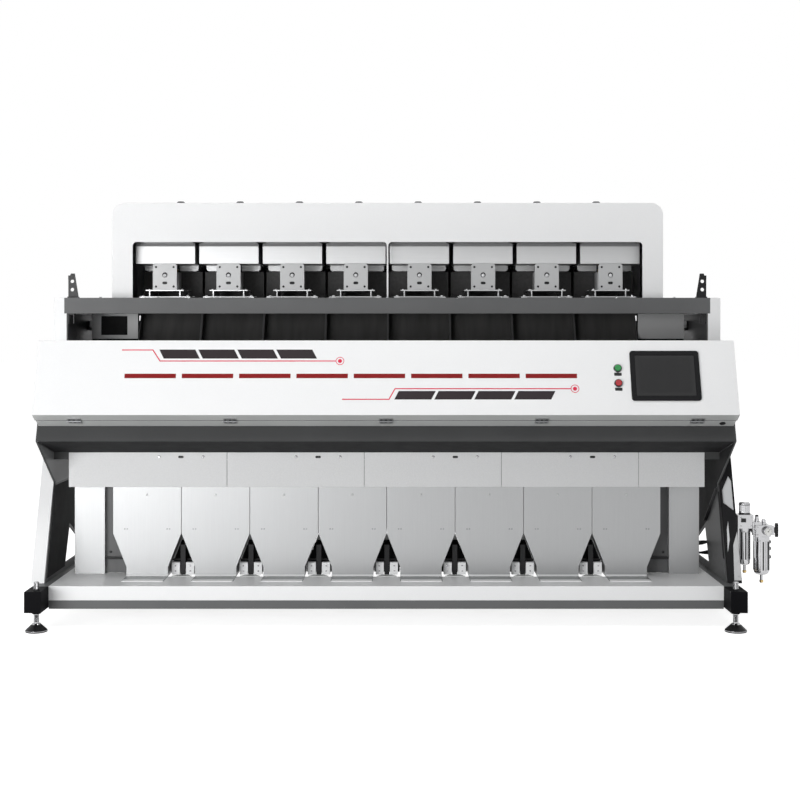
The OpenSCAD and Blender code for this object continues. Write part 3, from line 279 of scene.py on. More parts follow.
def spread(tree, value, low, high):
    """Noise brought between two values: its value socket."""
    made = tree.nodes.new("ShaderNodeMapRange")
    made.inputs["From Min"].default_value = 0.25
    made.inputs["From Max"].default_value = 0.75
    made.inputs["To Min"].default_value = low
    made.inputs["To Max"].default_value = high
    tree.links.new(value, made.inputs["Value"])
    return made.outputs["Result"]


def bump(tree, shade, value, strength, distance=0.0005):
    """Fine relief in the surface."""
    made = tree.nodes.new("ShaderNodeBump")
    made.inputs["Strength"].default_value = strength
    made.inputs["Distance"].default_value = distance
    tree.links.new(value, made.inputs["Height"])
    tree.links.new(made.outputs["Normal"], shade.inputs["Normal"])


def finish(name, colour, rough, vary=0.05, grain=700.0, depth=0.08, metal=0.0, stretch=(1, 1, 1), coat=0.0,
           slow_scale=3.0, gloss=0.5):
    """A finish with slow tone changes, a fine grain in the surface and uneven gloss."""
    made, tree, shade = shader(name)
    dark = tuple(c * (1 - vary) for c in colour)
    light = tuple(min(1.0, c * (1 + vary)) for c in colour)
    slow = noise(tree, slow_scale, stretch)
    fine = noise(tree, grain, stretch, 2.0)
    tree.links.new(tones(tree, slow, dark, light), shade.inputs["Base Color"])
    tree.links.new(spread(tree, fine, rough * 0.85, min(1.0, rough * 1.15)), shade.inputs["Roughness"])
    shade.inputs["Metallic"].default_value = metal
    shade.inputs["Coat Weight"].default_value = coat
    shade.inputs["Specular IOR Level"].default_value = gloss
    bump(tree, shade, fine, depth)
    return made


def glass(name, tint, rough):
    """Clear glass with faint smears."""
    made, tree, shade = shader(name)
    smear = noise(tree, 12.0, (1, 3, 1))
    tree.links.new(tones(tree, smear, tuple(c * 0.96 for c in tint), tint), shade.inputs["Base Color"])
    tree.links.new(spread(tree, smear, rough, rough * 3), shade.inputs["Roughness"])
    shade.inputs["Transmission Weight"].default_value = 0.9
    shade.inputs["IOR"].default_value = 1.45
    return made


# Coats: name, colour, roughness, change of tone, grain's scale and depth
WHITE = finish("white_powder_coat", (0.80, 0.805, 0.81), 0.42, 0.015, 900, 0.10, slow_scale=260)
SPECKLE = finish("speckled_coat", (0.66, 0.665, 0.67), 0.5, 0.06, 420, 0.25, slow_scale=240)
GREY = finish("grey_powder_coat", (0.118, 0.120, 0.122), 0.45, 0.06, 900, 0.12, gloss=0.2)
# Grey coat for the lip and the splitters' tips, also painted shade on the deck in front of the notches
LIP_GREY_AND_SHADE = finish("lip_grey_coat_and_painted_shade", (0.43, 0.44, 0.435), 0.4, 0.05, 900, 0.10)
# Dark coat for the upper frame and rear beam, also painted shade behind the gaps beside the end posts
DARK = finish("dark_powder_coat_and_painted_shade", (0.085, 0.086, 0.088), 0.5, 0.10, 800, 0.14)
BEAM_DARK = finish("beam_dark_coat", (0.046, 0.047, 0.048), 0.55, 0.08, 800, 0.14, gloss=0.25)
LEG_DARK = finish("leg_dark_coat", (0.018, 0.018, 0.019), 0.55, 0.12, 800, 0.14, gloss=0.04)
BLOCK = finish("block_black", (0.007, 0.007, 0.008), 0.5, 0.15, 600, 0.10, gloss=0.02)
PLATE = finish("plate_grey_coat", (0.060, 0.061, 0.062), 0.5, 0.08, 800, 0.14, gloss=0.25)
# Light grey coat for the level sensors, also painted light on the left side plate and painted shade on the
# tray strips
PLATE_LIGHT = finish("light_grey_coat_painted_light_and_shade", (0.20, 0.202, 0.205), 0.5, 0.08, 800, 0.14, gloss=0.3)
# Pale grey coat for the end panels, also painted shade on the outlets' hems and the toe plates
PALE_GREY = finish("pale_grey_coat_and_painted_shade", (0.62, 0.625, 0.63), 0.45, 0.05, 800, 0.12)
BLACK = finish("black_enamel", (0.012, 0.012, 0.013), 0.3, 0.15, 600, 0.08, gloss=0.2)
CHUTE = finish("dark_anodised", (0.085, 0.084, 0.083), 0.55, 0.18, 600, 0.16, 0.0, (8, 1, 1), gloss=0.25)
# Painted shade: a flat dark colour for the skins and sheets that stand in for shade
PAINTED_SHADE = finish("painted_shade_dark", (0.020, 0.020, 0.021), 0.7, 0.25, 500, 0.2, slow_scale=14, gloss=0.05)
# Painted shade: dark colour for the sheets behind the feeders
FEEDER_SHADE = finish("feeder_shade_sheet", (0.045, 0.044, 0.044), 0.6, 0.2, 500, 0.2, slow_scale=60)

# Metals: the same, then how metallic, and how the grain is stretched
STRIP = finish("strip_grey", (0.50, 0.505, 0.51), 0.4, 0.04, 500, 0.08, 0.2)
STEEL = finish("satin_steel", (0.33, 0.334, 0.338), 0.42, 0.015, 30, 0.008, 0.9, (60, 60, 1.2))
STEEL_X = finish("steel_across", (0.45, 0.454, 0.458), 0.44, 0.02, 30, 0.01, 0.9, (1.2, 60, 60))
# Painted shade: a darker copy of the satin steel for the accept hoppers
SHADED_STEEL = finish("shaded_steel", (0.16, 0.162, 0.165), 0.5, 0.06, 30, 0.04, 0.7, (60, 60, 1.2))
ZINC = finish("zinc_plate", (0.44, 0.445, 0.45), 0.34, 0.08, 250, 0.10, 1.0)
HINGE = finish("dark_zinc", (0.20, 0.205, 0.21), 0.36, 0.10, 250, 0.10, 0.8)
CHROME = finish("polished_metal", (0.44, 0.44, 0.45), 0.12, 0.05, 120, 0.03, 1.0)
SPRING = finish("blued_spring", (0.10, 0.11, 0.13), 0.3, 0.12, 300, 0.08, 1.0)
EDGE = finish("bare_edge", (0.22, 0.22, 0.225), 0.4, 0.08, 400, 0.08, 0.5)
ALU = finish("cast_aluminium", (0.40, 0.404, 0.408), 0.45, 0.06, 350, 0.14, 0.3)
COPPER = finish("brass_fitting", (0.56, 0.40, 0.17), 0.28, 0.08, 200, 0.08, 1.0)

# Plastics, rubber, films and the screen
PLASTIC = finish("black_plastic", (0.014, 0.014, 0.015), 0.38, 0.12, 900, 0.10, gloss=0.25)
LIGHT_PLASTIC = finish("light_plastic", (0.62, 0.63, 0.64), 0.35, 0.04, 500, 0.05)
GREEN = finish("green_cap", (0.012, 0.24, 0.05), 0.22, 0.08, 300, 0.03, coat=0.2)
RED = finish("red_cap", (0.40, 0.014, 0.022), 0.22, 0.08, 300, 0.03, coat=0.2)
RUBBER = finish("black_rubber", (0.016, 0.016, 0.016), 0.7, 0.15, 500, 0.2)
BAR_INK = finish("charcoal_film", (0.038, 0.031, 0.034), 0.4, 0.06, 500, 0.03, gloss=0.06)
DASH_INK = finish("dark_red_film", (0.23, 0.016, 0.017), 0.4, 0.06, 500, 0.03, gloss=0.06)
LINE_INK = finish("red_film", (0.66, 0.035, 0.08), 0.4, 0.06, 500, 0.03, gloss=0.1)
BEZEL = finish("screen_bezel", (0.008, 0.008, 0.009), 0.25, 0.1, 700, 0.04, gloss=0.12)
PANEL = finish("screen_face", (0.020, 0.020, 0.021), 0.12, 0.05, 200, 0.01, gloss=0.3)
SCREEN_DARK = finish("screen_dark", (0.022, 0.022, 0.023), 0.2, 0.08, 60, 0.01, gloss=0.2)
DIAL = finish("dial_face", (0.80, 0.80, 0.78), 0.35, 0.02, 300, 0.02)
GLASS = glass("clear_glass", (0.85, 0.92, 0.93), 0.02)

LOOKS = {
    "base_frame": GREY, "foot_blocks": BLOCK, "base_deck": WHITE, "side_plates": PLATE,
    "left_legs": WHITE, "right_legs": LEG_DARK, "side_boxes": WHITE, "top_beam": GREY,
    "upper_frame": DARK, "upper_brackets": BLACK, "hopper_front": WHITE, "hopper_shell": WHITE,
    "hopper_bin": STEEL, "level_sensors": PLATE_LIGHT, "feeder_mounts": ZINC, "feeder_drives": ALU,
    "feeder_springs": SPRING, "chutes": CHUTE, "cross_bars": ZINC, "end_panels": PALE_GREY,
    "front_lower_beam": BEAM_DARK, "rear_lower_beam": DARK, "front_optic_box": GREY, "rear_optic_box": GREY,
    "optic_glass": GLASS, "cameras": PLASTIC, "lamps": LIGHT_PLASTIC, "ejector_bank": ALU, "air_tank": ALU,
    "wipers": PLASTIC, "strip_covers": SPECKLE, "reject_hoppers": STEEL, "accept_hoppers": SHADED_STEEL,
    "end_posts": STEEL, "hinge_base": HINGE, "hinge_leaves": HINGE, "front_cover": WHITE,
    "rear_cover": WHITE, "touch_screen": BEZEL, "button_collars": PLASTIC, "green_button": GREEN,
    "red_button": RED, "cover_lock": BLACK, "air_bracket": ZINC, "air_filters": CHROME,
    "regulator_knob": CHROME, "valve_handle": PLASTIC, "air_hoses": RUBBER,
}
for i in range(1, 9):
    LOOKS[f"feeder_tray_{i}"] = STEEL_X
for i in range(1, 5):
    LOOKS[f"foot_{i}"] = CHROME

# CAD nodes: small pieces get a finer edge, and the hoses are smooth tubes
FINE = {"hinge_base", "hinge_leaves", "green_button", "red_button", "button_collars", "cover_lock",
        "regulator_knob", "valve_handle", "air_filters", "feeder_springs"}

for name, node in nodes.items():
    node.data.materials.clear()
    node.data.materials.append(LOOKS[name])
    weld = node.modifiers.new("weld", "WELD")
    weld.merge_threshold = WELD_GAP
    if name == "air_hoses":
        smooth = node.modifiers.new("round", "SUBSURF")
        smooth.levels = 2
        smooth.render_levels = 2
        continue
    flat = node.modifiers.new("flat", "DECIMATE")
    flat.decimate_type = "DISSOLVE"
    flat.angle_limit = math.radians(0.6)
    edge = node.modifiers.new("edge", "BEVEL")
    edge.width = FINE_EDGE if name in FINE else PLAIN_EDGE
    edge.segments = 2
    edge.limit_method = "ANGLE"
    edge.angle_limit = math.radians(12)
    edge.use_clamp_overlap = False
    even = node.modifiers.new("even", "WEIGHTED_NORMAL")
    even.weight = 100
    for polygon in node.data.polygons:
        polygon.use_smooth = True


class Piece:
    """Mesh detail gathered in one object that rides on a body."""

    def __init__(self, name, body, look):
        self.name, self.body, self.look = name, body, look
        self.mesh = bmesh.new()

    def faces(self, points, faces):
        """Points, and faces as tuples of their places in the list."""
        made = [self.mesh.verts.new(p) for p in points]
        for f in faces:
            self.mesh.faces.new([made[i] for i in f])

    def prism(self, points, out, depth):
        """Closed outline of points, pushed along out by depth in millimetres."""
        n = len(points)
        step = out * (depth / 1000)
        sides = [(i, (i + 1) % n, n + (i + 1) % n, n + i) for i in range(n)]
        self.faces(points + [p + step for p in points],
                   [tuple(range(n - 1, -1, -1)), tuple(range(n, 2 * n)), *sides])

    def box(self, low, high):
        """Box between two corners in machine millimetres."""
        (x0, y0, z0), (x1, y1, z1) = low, high
        self.prism(rect(level(z0), x0, y0, x1, y1), UP, z1 - z0)

    def circle(self, middle, axis, r, steps):
        """Vertices of a ring of radius r round a middle, or the middle alone where r is 0."""
        if r == 0:
            return [self.mesh.verts.new(middle)]
        side = axis.cross(UP if abs(axis.z) < 0.9 else RIGHT).normalized()
        up = axis.cross(side)
        turns = (2 * math.pi * k / steps for k in range(steps))
        return [self.mesh.verts.new(middle + (side * math.cos(a) + up * math.sin(a)) * (r / 1000))
                for a in turns]

    def wall(self, a, b, steps):
        """Faces between two rings, of which one may be a single vertex."""
        for k in range(steps):
            j = (k + 1) % steps
            if len(a) == 1:
                self.mesh.faces.new((a[0], b[j], b[k]))
            elif len(b) == 1:
                self.mesh.faces.new((a[k], a[j], b[0]))
            else:
                self.mesh.faces.new((a[k], a[j], b[j], b[k]))

    def lathe(self, origin, axis, profile, steps=20):
        """Profile of (radius, height) in millimetres, turned about axis from origin."""
        rings = [self.circle(origin + axis * (h / 1000), axis, r, steps) for r, h in profile]
        for a, b in zip(rings, rings[1:]):
            self.wall(a, b, steps)

    def tube(self, points, r, steps=10):
        """Round bar along points in the frame."""
        rings = []
        for i, p in enumerate(points):
            way = (points[min(i + 1, len(points) - 1)] - points[max(i - 1, 0)]).normalized()
            rings.append(self.circle(p, way, r, steps))
        for a, b in zip(rings, rings[1:]):
            self.wall(a, b, steps)
        self.mesh.faces.new(rings[0][::-1])
        self.mesh.faces.new(rings[-1])

    def bolt(self, origin, axis, across):
        """Hexagon head on a washer."""
        washer = across * 0.12
        r, h = across / 2 / math.cos(math.pi / 6), across * 0.4
        self.lathe(origin, axis, disc(across * 0.75, washer))
        self.lathe(origin + axis * (washer / 1000), axis,
                   [(0, 0), (r, 0), (r, h * 0.85), (r * 0.84, h), (0, h)], 6)

    def screw(self, origin, axis, r):
        """Domed screw head with a round recess."""
        dome = [(0, 0), (r, 0), (r * 0.97, r * 0.25), (r * 0.8, r * 0.5), (r * 0.5, r * 0.62)]
        self.lathe(origin, axis, dome + [(r * 0.45, r * 0.62), (r * 0.42, r * 0.25), (0, r * 0.25)], 18)

    def done(self, edge=0.3):
        """Object with broken edges of a width in millimetres, riding on its body."""
        bmesh.ops.recalc_face_normals(self.mesh, faces=self.mesh.faces[:])
        data = bpy.data.meshes.new(self.name)
        self.mesh.to_mesh(data)
        self.mesh.free()
        data.materials.append(self.look)
        for polygon in data.polygons:
            polygon.use_smooth = True
        made = bpy.data.objects.new(self.name, data)
        bpy.context.scene.collection.objects.link(made)
        cut = made.modifiers.new("edge", "BEVEL")
        cut.width = edge / 1000
        cut.segments = 2
        cut.limit_method = "ANGLE"
        cut.angle_limit = math.radians(35)
        cut.harden_normals = True
        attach(made, self.body)


# Front cover: slanted bars, each row with its start, step, width, slant and band on the slope
bars = Piece("cover_bars", "front_door", BAR_INK)
for start, step, width, slant, low, high in ((-1046.4, 179.9, 166.0, 23.0, 270.2, 314.1),
                                             (58.3, 182.1, 168.9, -20.5, 73.1, 113.7)):
    for k in range(4):
        x = start + step * k
        foot = x + slant
        bars.prism(outline(on_face, ((foot, low), (foot + width, low), (x + width, high), (x, high))),
                   FACE_OUT, FILM)
bars.done(0.08)

dashes = Piece("cover_dashes", "front_door", DASH_INK)
for k in range(8):
    x = -1198.5 + 262.6 * k
    dashes.prism(rect(on_face, x, 175.2, x + 235.7, 196.9), FACE_OUT, FILM)
dashes.done(0.08)


def stroke(piece, path, width):
    """Line of constant width through points (x, v) on the cover, with mitred corners."""
    def offset(i, side):
        a = Vector(path[i]) - Vector(path[i - 1]) if i else Vector(path[1]) - Vector(path[0])
        b = Vector(path[i + 1]) - Vector(path[i]) if i < len(path) - 1 else a
        na, nb = Vector((-a.y, a.x)).normalized(), Vector((-b.y, b.x)).normalized()
        n = (na + nb).normalized()
        p = Vector(path[i]) + n * (side * width / 2 / n.dot(nb))
        return on_face(p.x, p.y)
    for i in range(len(path) - 1):
        piece.prism([offset(i, -1), offset(i + 1, -1), offset(i + 1, 1), offset(i, 1)], FACE_OUT, FILM)


lines = Piece("cover_lines", "front_door", LINE_INK)
stroke(lines, [(-1218.4, 312.1), (-1075.4, 312.1), (-1039.9, 258.5), (-231, 258.5)], 5.0)
stroke(lines, [(-200.2, 74.1), (13.9, 74.1), (41.2, 124.7), (844, 124.7)], 5.0)
for x, v in ((-212, 258.5), (863.2, 124.7)):
    lines.lathe(on_face(x, v), FACE_OUT, band(16.5, 19.5, FILM), 40)
    lines.lathe(on_face(x, v), FACE_OUT, disc(9.5, FILM), 32)
lines.done(0.05)

# Touch screen: pane, raised rim and dark picture area
pane = Piece("screen_pane", "front_door", PANEL)
pane.prism(rounded(*inset(SCREEN, 22), 3, partial(on_face, out=5.1)), FACE_OUT, 1.2)
pane.done(0.3)

rim = Piece("screen_rim", "front_door", BEZEL)
on_bezel = partial(on_face, out=6.9)
outer = rounded(*SCREEN, 12, on_bezel)
inner = rounded(*inset(SCREEN, 18), 5, on_bezel)
lift = FACE_OUT * 0.0009
n = len(outer)
rim_faces = []
for i in range(n):
    j = (i + 1) % n
    rim_faces += [(i, j, 2 * n + j, 2 * n + i), (n + j, n + i, 3 * n + i, 3 * n + j),
                  (2 * n + i, 2 * n + j, 3 * n + j, 3 * n + i), (j, i, n + i, n + j)]
rim.faces(outer + inner + [p + lift for p in outer] + [p + lift for p in inner], rim_faces)
rim.done(0.4)

area = Piece("screen_area", "front_door", SCREEN_DARK)
area.prism(rounded(1160, 104, 1398, 270, 2, partial(on_face, out=6.2)), FACE_OUT, 0.25)
area.done(0.08)

# Buttons: rings round them and blank plates under them
collars = Piece("button_rings", "front_door", CHROME)
plates = Piece("button_plates", "front_door", PLASTIC)
for v in (150, 222):
    collars.lathe(on_face(BUTTON_X, v, 0.3), FACE_OUT,
                  [(18.2, 0), (20.5, 0), (20.5, 1.6), (19.4, 3), (18.2, 3), (18.2, 0)], 36)
    plates.prism(rounded(BUTTON_X - 17, v - 35, BUTTON_X + 17, v - 20.8, 3, partial(on_face, out=SEAT)),
                 FACE_OUT, 1.2)
    for dx in (-11, 11):
        plates.screw(on_face(BUTTON_X + dx, v - 29, 1.2), FACE_OUT, 1.6)
collars.done(0.2)
plates.done(0.2)

# Inside of the cover: ribs, seal and screen back
ribs = Piece("cover_ribs", "front_door", WHITE)
for x in (-1300, -900, -500, -100, 300, 700, 1000):
    ribs.prism(rect(partial(on_face, out=-3.2), x - 22, 40, x + 22, 300), -FACE_OUT, 1.5)
    ribs.prism(rect(partial(on_face, out=-4.6), x - 12, 46, x + 12, 294), -FACE_OUT, 14)
ribs.done(0.8)

seal = Piece("cover_seal", "front_door", RUBBER)
for corners in ((-1590, 20, 1590, 32), (-1590, 322, 1590, 334),
                (-1590, 32, -1578, 322), (1578, 32, 1590, 322)):
    seal.prism(rect(partial(on_face, out=-3.3), *corners), -FACE_OUT, 12)
seal.done(2.0)

vents = Piece("screen_back", "front_door", PLASTIC)
for k in range(9):
    v = 110 + 19 * k
    vents.prism(rect(partial(on_face, out=-45.2), 1180, v, 1378, v + 8), -FACE_OUT, 2.5)
vents.done(0.5)

# Lip: grey skins below and above the seam
for name, body, half, near, far in (("lip_skin", "machine", 1601, 2.2, 56.5),
                                    ("cover_lip_skin", "front_door", 1606, -56.5, -2.2)):
    skin = Piece(name, body, LIP_GREY_AND_SHADE)
    skin.prism(rect(partial(on_lip, out=-SEAT), -half, near, half, far), LIP_OUT, 0.5)
    skin.done(0.1)

# Hinges: a bar and three raised blocks with dark slots on each leaf
for name, body, side in (("hinge_plates_fixed", "machine", 1), ("hinge_plates_cover", "front_door", -1)):
    plate = Piece(name, body, ZINC)
    slots = Piece(name.replace("plates", "slots"), body, BLACK)
    for k in range(-2, 3):
        middle = HINGE_PITCH * k
        plate.prism(rect(partial(on_lip, out=0.6), middle - 31, side * 21, middle + 31, side * 27),
                    LIP_OUT, 2.6)
        for x in (middle - 21, middle, middle + 21):
            plate.prism(rect(partial(on_lip, out=1.7), x - 9, side * 7, x + 9, side * 19), LIP_OUT, 1.8)
            slots.prism(rect(partial(on_lip, out=3.6), x - 6, side * 9, x + 6, side * 17), LIP_OUT, 0.6)
    plate.done(0.4)
    slots.done(0.2)


# Side plates: skins of painted light and painted shade on their inner faces, and a brace on the right one

def plate_skin(name, look, s, shapes):
    """Thin skin of (y, z) outlines, painted light or painted shade as its look gives: s is -1 for the left
    plate and 1 for the right one.
    """
    made = Piece(name, "machine", look)
    for pairs in shapes:
        made.prism(outline(side_plane(s * (PLATE_IN - 0.1)), pairs), RIGHT * -s, 0.6)
    made.done(0.1)


under_beam = ((-738, 866), (-430, 793), (-430, 770), (16, 770))
# Painted light: a lighter skin on the upper inner face of the left plate
plate_skin("plate_skin", PLATE_LIGHT, -1, [under_beam + ((16, 646), (-392, 646))])
# Painted shade: dark skin on the lower inner face of the left plate
plate_skin("plate_shade_low", PAINTED_SHADE, -1, [((-410, 636), (16, 636), (16, 358), (-112, 414), (-122, 414),
                                          (-218, 231), (-218, 214), (-572, 214))])
# Painted shade: dark skins on the inner face of the right plate
plate_skin("plate_shade_right", PAINTED_SHADE, 1,
           [under_beam + ((16, 352), (-115, 412), (-144, 424), (-392, 610), (-392, 646)),
            ((-538, 300), (-512, 300), (-398, 606), (-424, 606))])

brace = Piece("plate_brace", "machine", PLATE)
for x, depth, pairs in ((PLATE_IN - 0.8, 4.0, ((-400, 618), (-146, 428), (-139, 436), (-392, 626))),
                        (PLATE_IN - 4.8, 8.0, ((-398, 618), (-148, 431), (-146, 434), (-396, 621)))):
    brace.prism(outline(side_plane(x), pairs), -RIGHT, depth)
brace.done(0.4)

# Painted shade: dark skin on the lower beam's sloping underside
shade_under = Piece("beam_under_shade", "machine", PAINTED_SHADE)
shade_under.prism([mm(x, y, z) for x, y, z in ((-1598, -748, 872.5), (1598, -748, 872.5),
                                              (1598, -446, 800.6), (-1598, -446, 800.6))],
                 BEAM_UNDER, 0.6)
shade_under.done(0.1)

# Strip covers: screws and pull slots
strip_screws = Piece("strip_screws", "machine", CHROME)
pulls = Piece("strip_pulls", "machine", PLASTIC)
for middle in (-3 * PITCH, -PITCH, PITCH, 3 * PITCH):
    for dx in (-106, 106):
        strip_screws.screw(mm(middle + dx, STRIP_FRONT - SEAT, 776), FRONT, 7)
    pulls.prism(rounded(middle - 13, 770, middle + 13, 781, 5, front_plane(STRIP_FRONT - SEAT)), FRONT, 1.5)
strip_screws.done(0.3)
pulls.done(0.3)

# Outlet panels: screws, studs and folded bottom edges, whose grey is painted shade
outlet_screws = Piece("outlet_screws", "machine", ZINC)
studs = Piece("outlet_studs", "machine", HINGE)
hems = Piece("outlet_hems", "machine", PALE_GREY)
for x in LANES:
    outlet_screws.screw(mm(x, OUTLET_FRONT - SEAT, 592), FRONT, 5)
    for dx in (-108, -96, 96, 108):
        studs.lathe(mm(x + dx, OUTLET_FRONT - SEAT, 427), FRONT,
                    [(0, 0), (3.6, 0), (3.2, 0.9), (0, 1.2)], 14)
    hems.box((x - 99, OUTLET_FRONT - 2.5, DECK_TOP + 2.6), (x + 99, OUTLET_FRONT - SEAT, DECK_TOP + 11))
outlet_screws.done(0.2)
studs.done(0.2)
hems.done(0.5)

# Toe plates on the deck, in front of the outlets: their grey is painted shade on the deck
toes = Piece("outlet_toes", "machine", PALE_GREY)
toe_lips = Piece("toe_lips", "machine", WHITE)
for x in LANES:
    toes.box((x - 96, -520, DECK_TOP + SEAT), (x + 96, -432, DECK_TOP + 1.2))
    toe_lips.box((x - 96, -566, DECK_TOP + SEAT), (x + 96, -520.5, DECK_TOP + 4))
    for dx in (-84, 84):
        toes.screw(mm(x + dx, -446, DECK_TOP + 1.15), UP, 4)
toes.done(0.3)
toe_lips.done(0.6)

# Splitter brackets between the outlets, seen through the notches: the dark sheets and the grey patches on
# the deck are painted shade
foot_z = DECK_TOP + 2
sheets = Piece("splitter_shade_sheets", "machine", PAINTED_SHADE)
tips = Piece("splitter_tips_and_deck_shade", "machine", LIP_GREY_AND_SHADE)
posts = Piece("splitter_posts", "machine", BLACK)
blocks = Piece("splitter_feet", "machine", WHITE)
block_screws = Piece("splitter_screws", "machine", CHROME)
for x in [k * PITCH for k in range(-3, 4)]:
    # Painted shade: dark sheet seen through the notch
    sheets.prism([mm(x + s * (notch_half(z) - 2.5), -296, z) for s, z in (
        (-1, foot_z), (1, foot_z), (1, NOTCH_KNEE), (1, 366), (-1, 366), (-1, NOTCH_KNEE))], FRONT, 2.0)
    tips.prism([mm(x + s * (notch_half(z) - 2), -330, z) for s, z in (
        (-1, 362), (1, 362), (1, 392), (-1, 392))], FRONT, 2.0)
    tips.box((x - 11, -318, 326), (x + 11, -314, 332))
    # Painted shade: grey patch on the white deck in front of the notch
    tips.prism([mm(x + dx, y, DECK_TOP + 0.1) for dx, y in (
        (-50, -422), (50, -422), (26, -382), (-26, -382))], UP, 3.0)
    posts.box((x - 12, -376, foot_z), (x + 12, -304, 344))
    posts.box((x - 56, -336, 262), (x + 56, -330.2, 270))
    for s in (-1, 1):
        near, far = sorted((x + s * 15, x + s * 54))
        blocks.box((near, -378, foot_z), (far, -340, 258))
        for z in (216, 242):
            block_screws.screw(mm(x + s * 36, -378.1, z), FRONT, 4)
for made in (sheets, tips, posts, blocks, block_screws):
    made.done(0.5)

# Sheets behind the strip covers' joints
backs = Piece("strip_joint_backs", "machine", GREY)
for k in range(-1, 3):
    x = 2 * k * PITCH - 108
    backs.box((x - 9, STRIP_BACK + 0.3, 641), (x + 9, STRIP_BACK + 2.3, 762))
    for z in (660, 700, 740):
        backs.screw(mm(x - 5, STRIP_BACK + 2.4, z), BACK, 2.5)
backs.done(0.3)

# Painted shade: dark sheets behind the gaps beside the end posts
gap_end = 1374.5
sheet_y = -322
shades = Piece("end_gap_shade_sheets", "machine", DARK)
catches = Piece("end_gap_catches", "machine", BLACK)
for s in (-1, 1):
    near, far = sorted((s * (LANES_HALF + 1.5), s * gap_end))
    shades.box((near, sheet_y, foot_z), (far, sheet_y + 3, 638))
    shades.prism([mm(s * (LANES_HALF - half), sheet_y, z) for half, z in (
        (-1.5, foot_z), (62.5, foot_z), (62.5, NOTCH_KNEE), (0, 398.5), (-1.5, 398.5))], BACK, 3.0)
    near, far = sorted((s * 1272, s * gap_end))
    catches.box((near, sheet_y - 23, 268), (far, sheet_y - 1, 278))
    catches.bolt(mm(s * 1352, sheet_y - 0.2, 300), FRONT, 9)
shades.done(0.5)
catches.done(0.5)

# Feeder drives: bolts, bosses and slots on their faces, with black fills of painted shade in the boss
# recess and the slot, bolts on their mounts
drive_bolts_and_hole_shade = Piece("drive_bolts_and_hole_shade", "machine", BLACK)
bosses = Piece("drive_bosses", "machine", LIGHT_PLASTIC)
mount_bolts = Piece("mount_bolts", "machine", ZINC)
for x in LANES:
    for dx in (-45.5, 45.5):
        for dz in (-50.5, 50.5):
            drive_bolts_and_hole_shade.lathe(mm(x + dx, DRIVE_FRONT - SEAT, DRIVE_Z + dz), FRONT,
                              [(0, 0), (5.8, 0), (5.8, 0.5), (4.6, 1.4), (0, 1.4)], 16)
    # Painted shade: black disc in the recess round the boss
    drive_bolts_and_hole_shade.lathe(mm(x, DRIVE_FRONT + 4, DRIVE_Z + 10), FRONT, disc(12.5, 2.6), 28)
    bosses.lathe(mm(x, DRIVE_FRONT + 1.3, DRIVE_Z + 7), FRONT,
                 [(0, 0), (9.2, 0), (9.2, 3.5), (8, 6), (5, 7.6), (0, 8.2)], 28)
    # Painted shade: black fill in the slot below the boss
    slot = rounded(x - 13, DRIVE_Z - 39, x + 13, DRIVE_Z - 25, 6.5, front_plane(DRIVE_FRONT + 6))
    drive_bolts_and_hole_shade.prism(slot, FRONT, 3.0)
    for dx in (-116, 116):
        for y in (96, 290):
            mount_bolts.bolt(mm(x + dx, y, BEAM_TOP + 13 + SEAT), UP, 13)
    for dx in (-85, 85):
        for y in (100, 300):
            mount_bolts.bolt(mm(x + dx, y, MOUNT_TOP + SEAT), UP, 10)
drive_bolts_and_hole_shade.done(0.3)
bosses.done(0.4)
mount_bolts.done(0.3)

# Painted shade: dark sheets behind the feeders
screens = Piece("feeder_shade_sheets", "machine", FEEDER_SHADE)
for x in LANES:
    screens.box((x - 158, 346, BEAM_TOP + 7), (x + 158, 348, 1700))
    screens.box((x - 158, 340.5, BEAM_TOP + 7), (x + 158, 346, BEAM_TOP + 11))
    for dx in (-146, 146):
        screens.screw(mm(x + dx, 345.9, 1580), FRONT, 4)
screens.done(0.4)

# Coils of the magnets, and clamps of the leaf springs
coils = Piece("drive_coils", "machine", COPPER)
clamps = Piece("spring_clamps", "machine", ZINC)
windings = [(19 + 1.5 * (k % 2), 3 * k) for k in range(7)]
for x in LANES:
    for dx in (-26, 26):
        coils.lathe(mm(x + dx, 232, 1692.1), UP, [(0, 0), *windings, (0, 18)], 28)
    for y in (166, 330):
        clamps.box((x - 47, y - 14, MOUNT_TOP + SEAT), (x + 47, y - 1, MOUNT_TOP + 16))
        for dx in (-28, 28):
            clamps.bolt(mm(x + dx, y - 14, MOUNT_TOP + 8), FRONT, 9)
coils.done(0.3)
clamps.done(0.5)

# Trays: screwed strips along the top edge, whose grey is painted shade
for i, x in enumerate(LANES, 1):
    strip = Piece(f"tray_{i}_strip", f"feeder_tray_{i}", PLATE_LIGHT)
    strip.box((x - 154, TRAY_FRONT - 2.5, 1822), (x + 154, TRAY_FRONT - SEAT, 1835))
    strip.box((x - 154, TRAY_FRONT - 2.5, 1835), (x + 154, TRAY_FRONT + 12, 1837.5))
    for dx in (-140, -70, 0, 70, 140):
        strip.screw(mm(x + dx, TRAY_FRONT - 2.55, 1828), FRONT, 2.6)
    strip.done(0.4)

# Chutes: light edges on the walls, narrower on the two outer ones
edges = Piece("chute_edges", "machine", EDGE)
edge_foot = 955
for k in range(-4, 5):
    half = 5.0 if abs(k) < 4 else 2.0
    x = k * PITCH + (0.0 if abs(k) < 4 else math.copysign(3.5, -k))
    left, right = (mm(x + d, chute_y(edge_foot), edge_foot) + CHUTE_OUT * 0.0401 for d in (-half, half))
    edges.prism([left, right, right + CHUTE_UP * 0.62, left + CHUTE_UP * 0.62], CHUTE_OUT, 1.6)
edges.done(0.3)

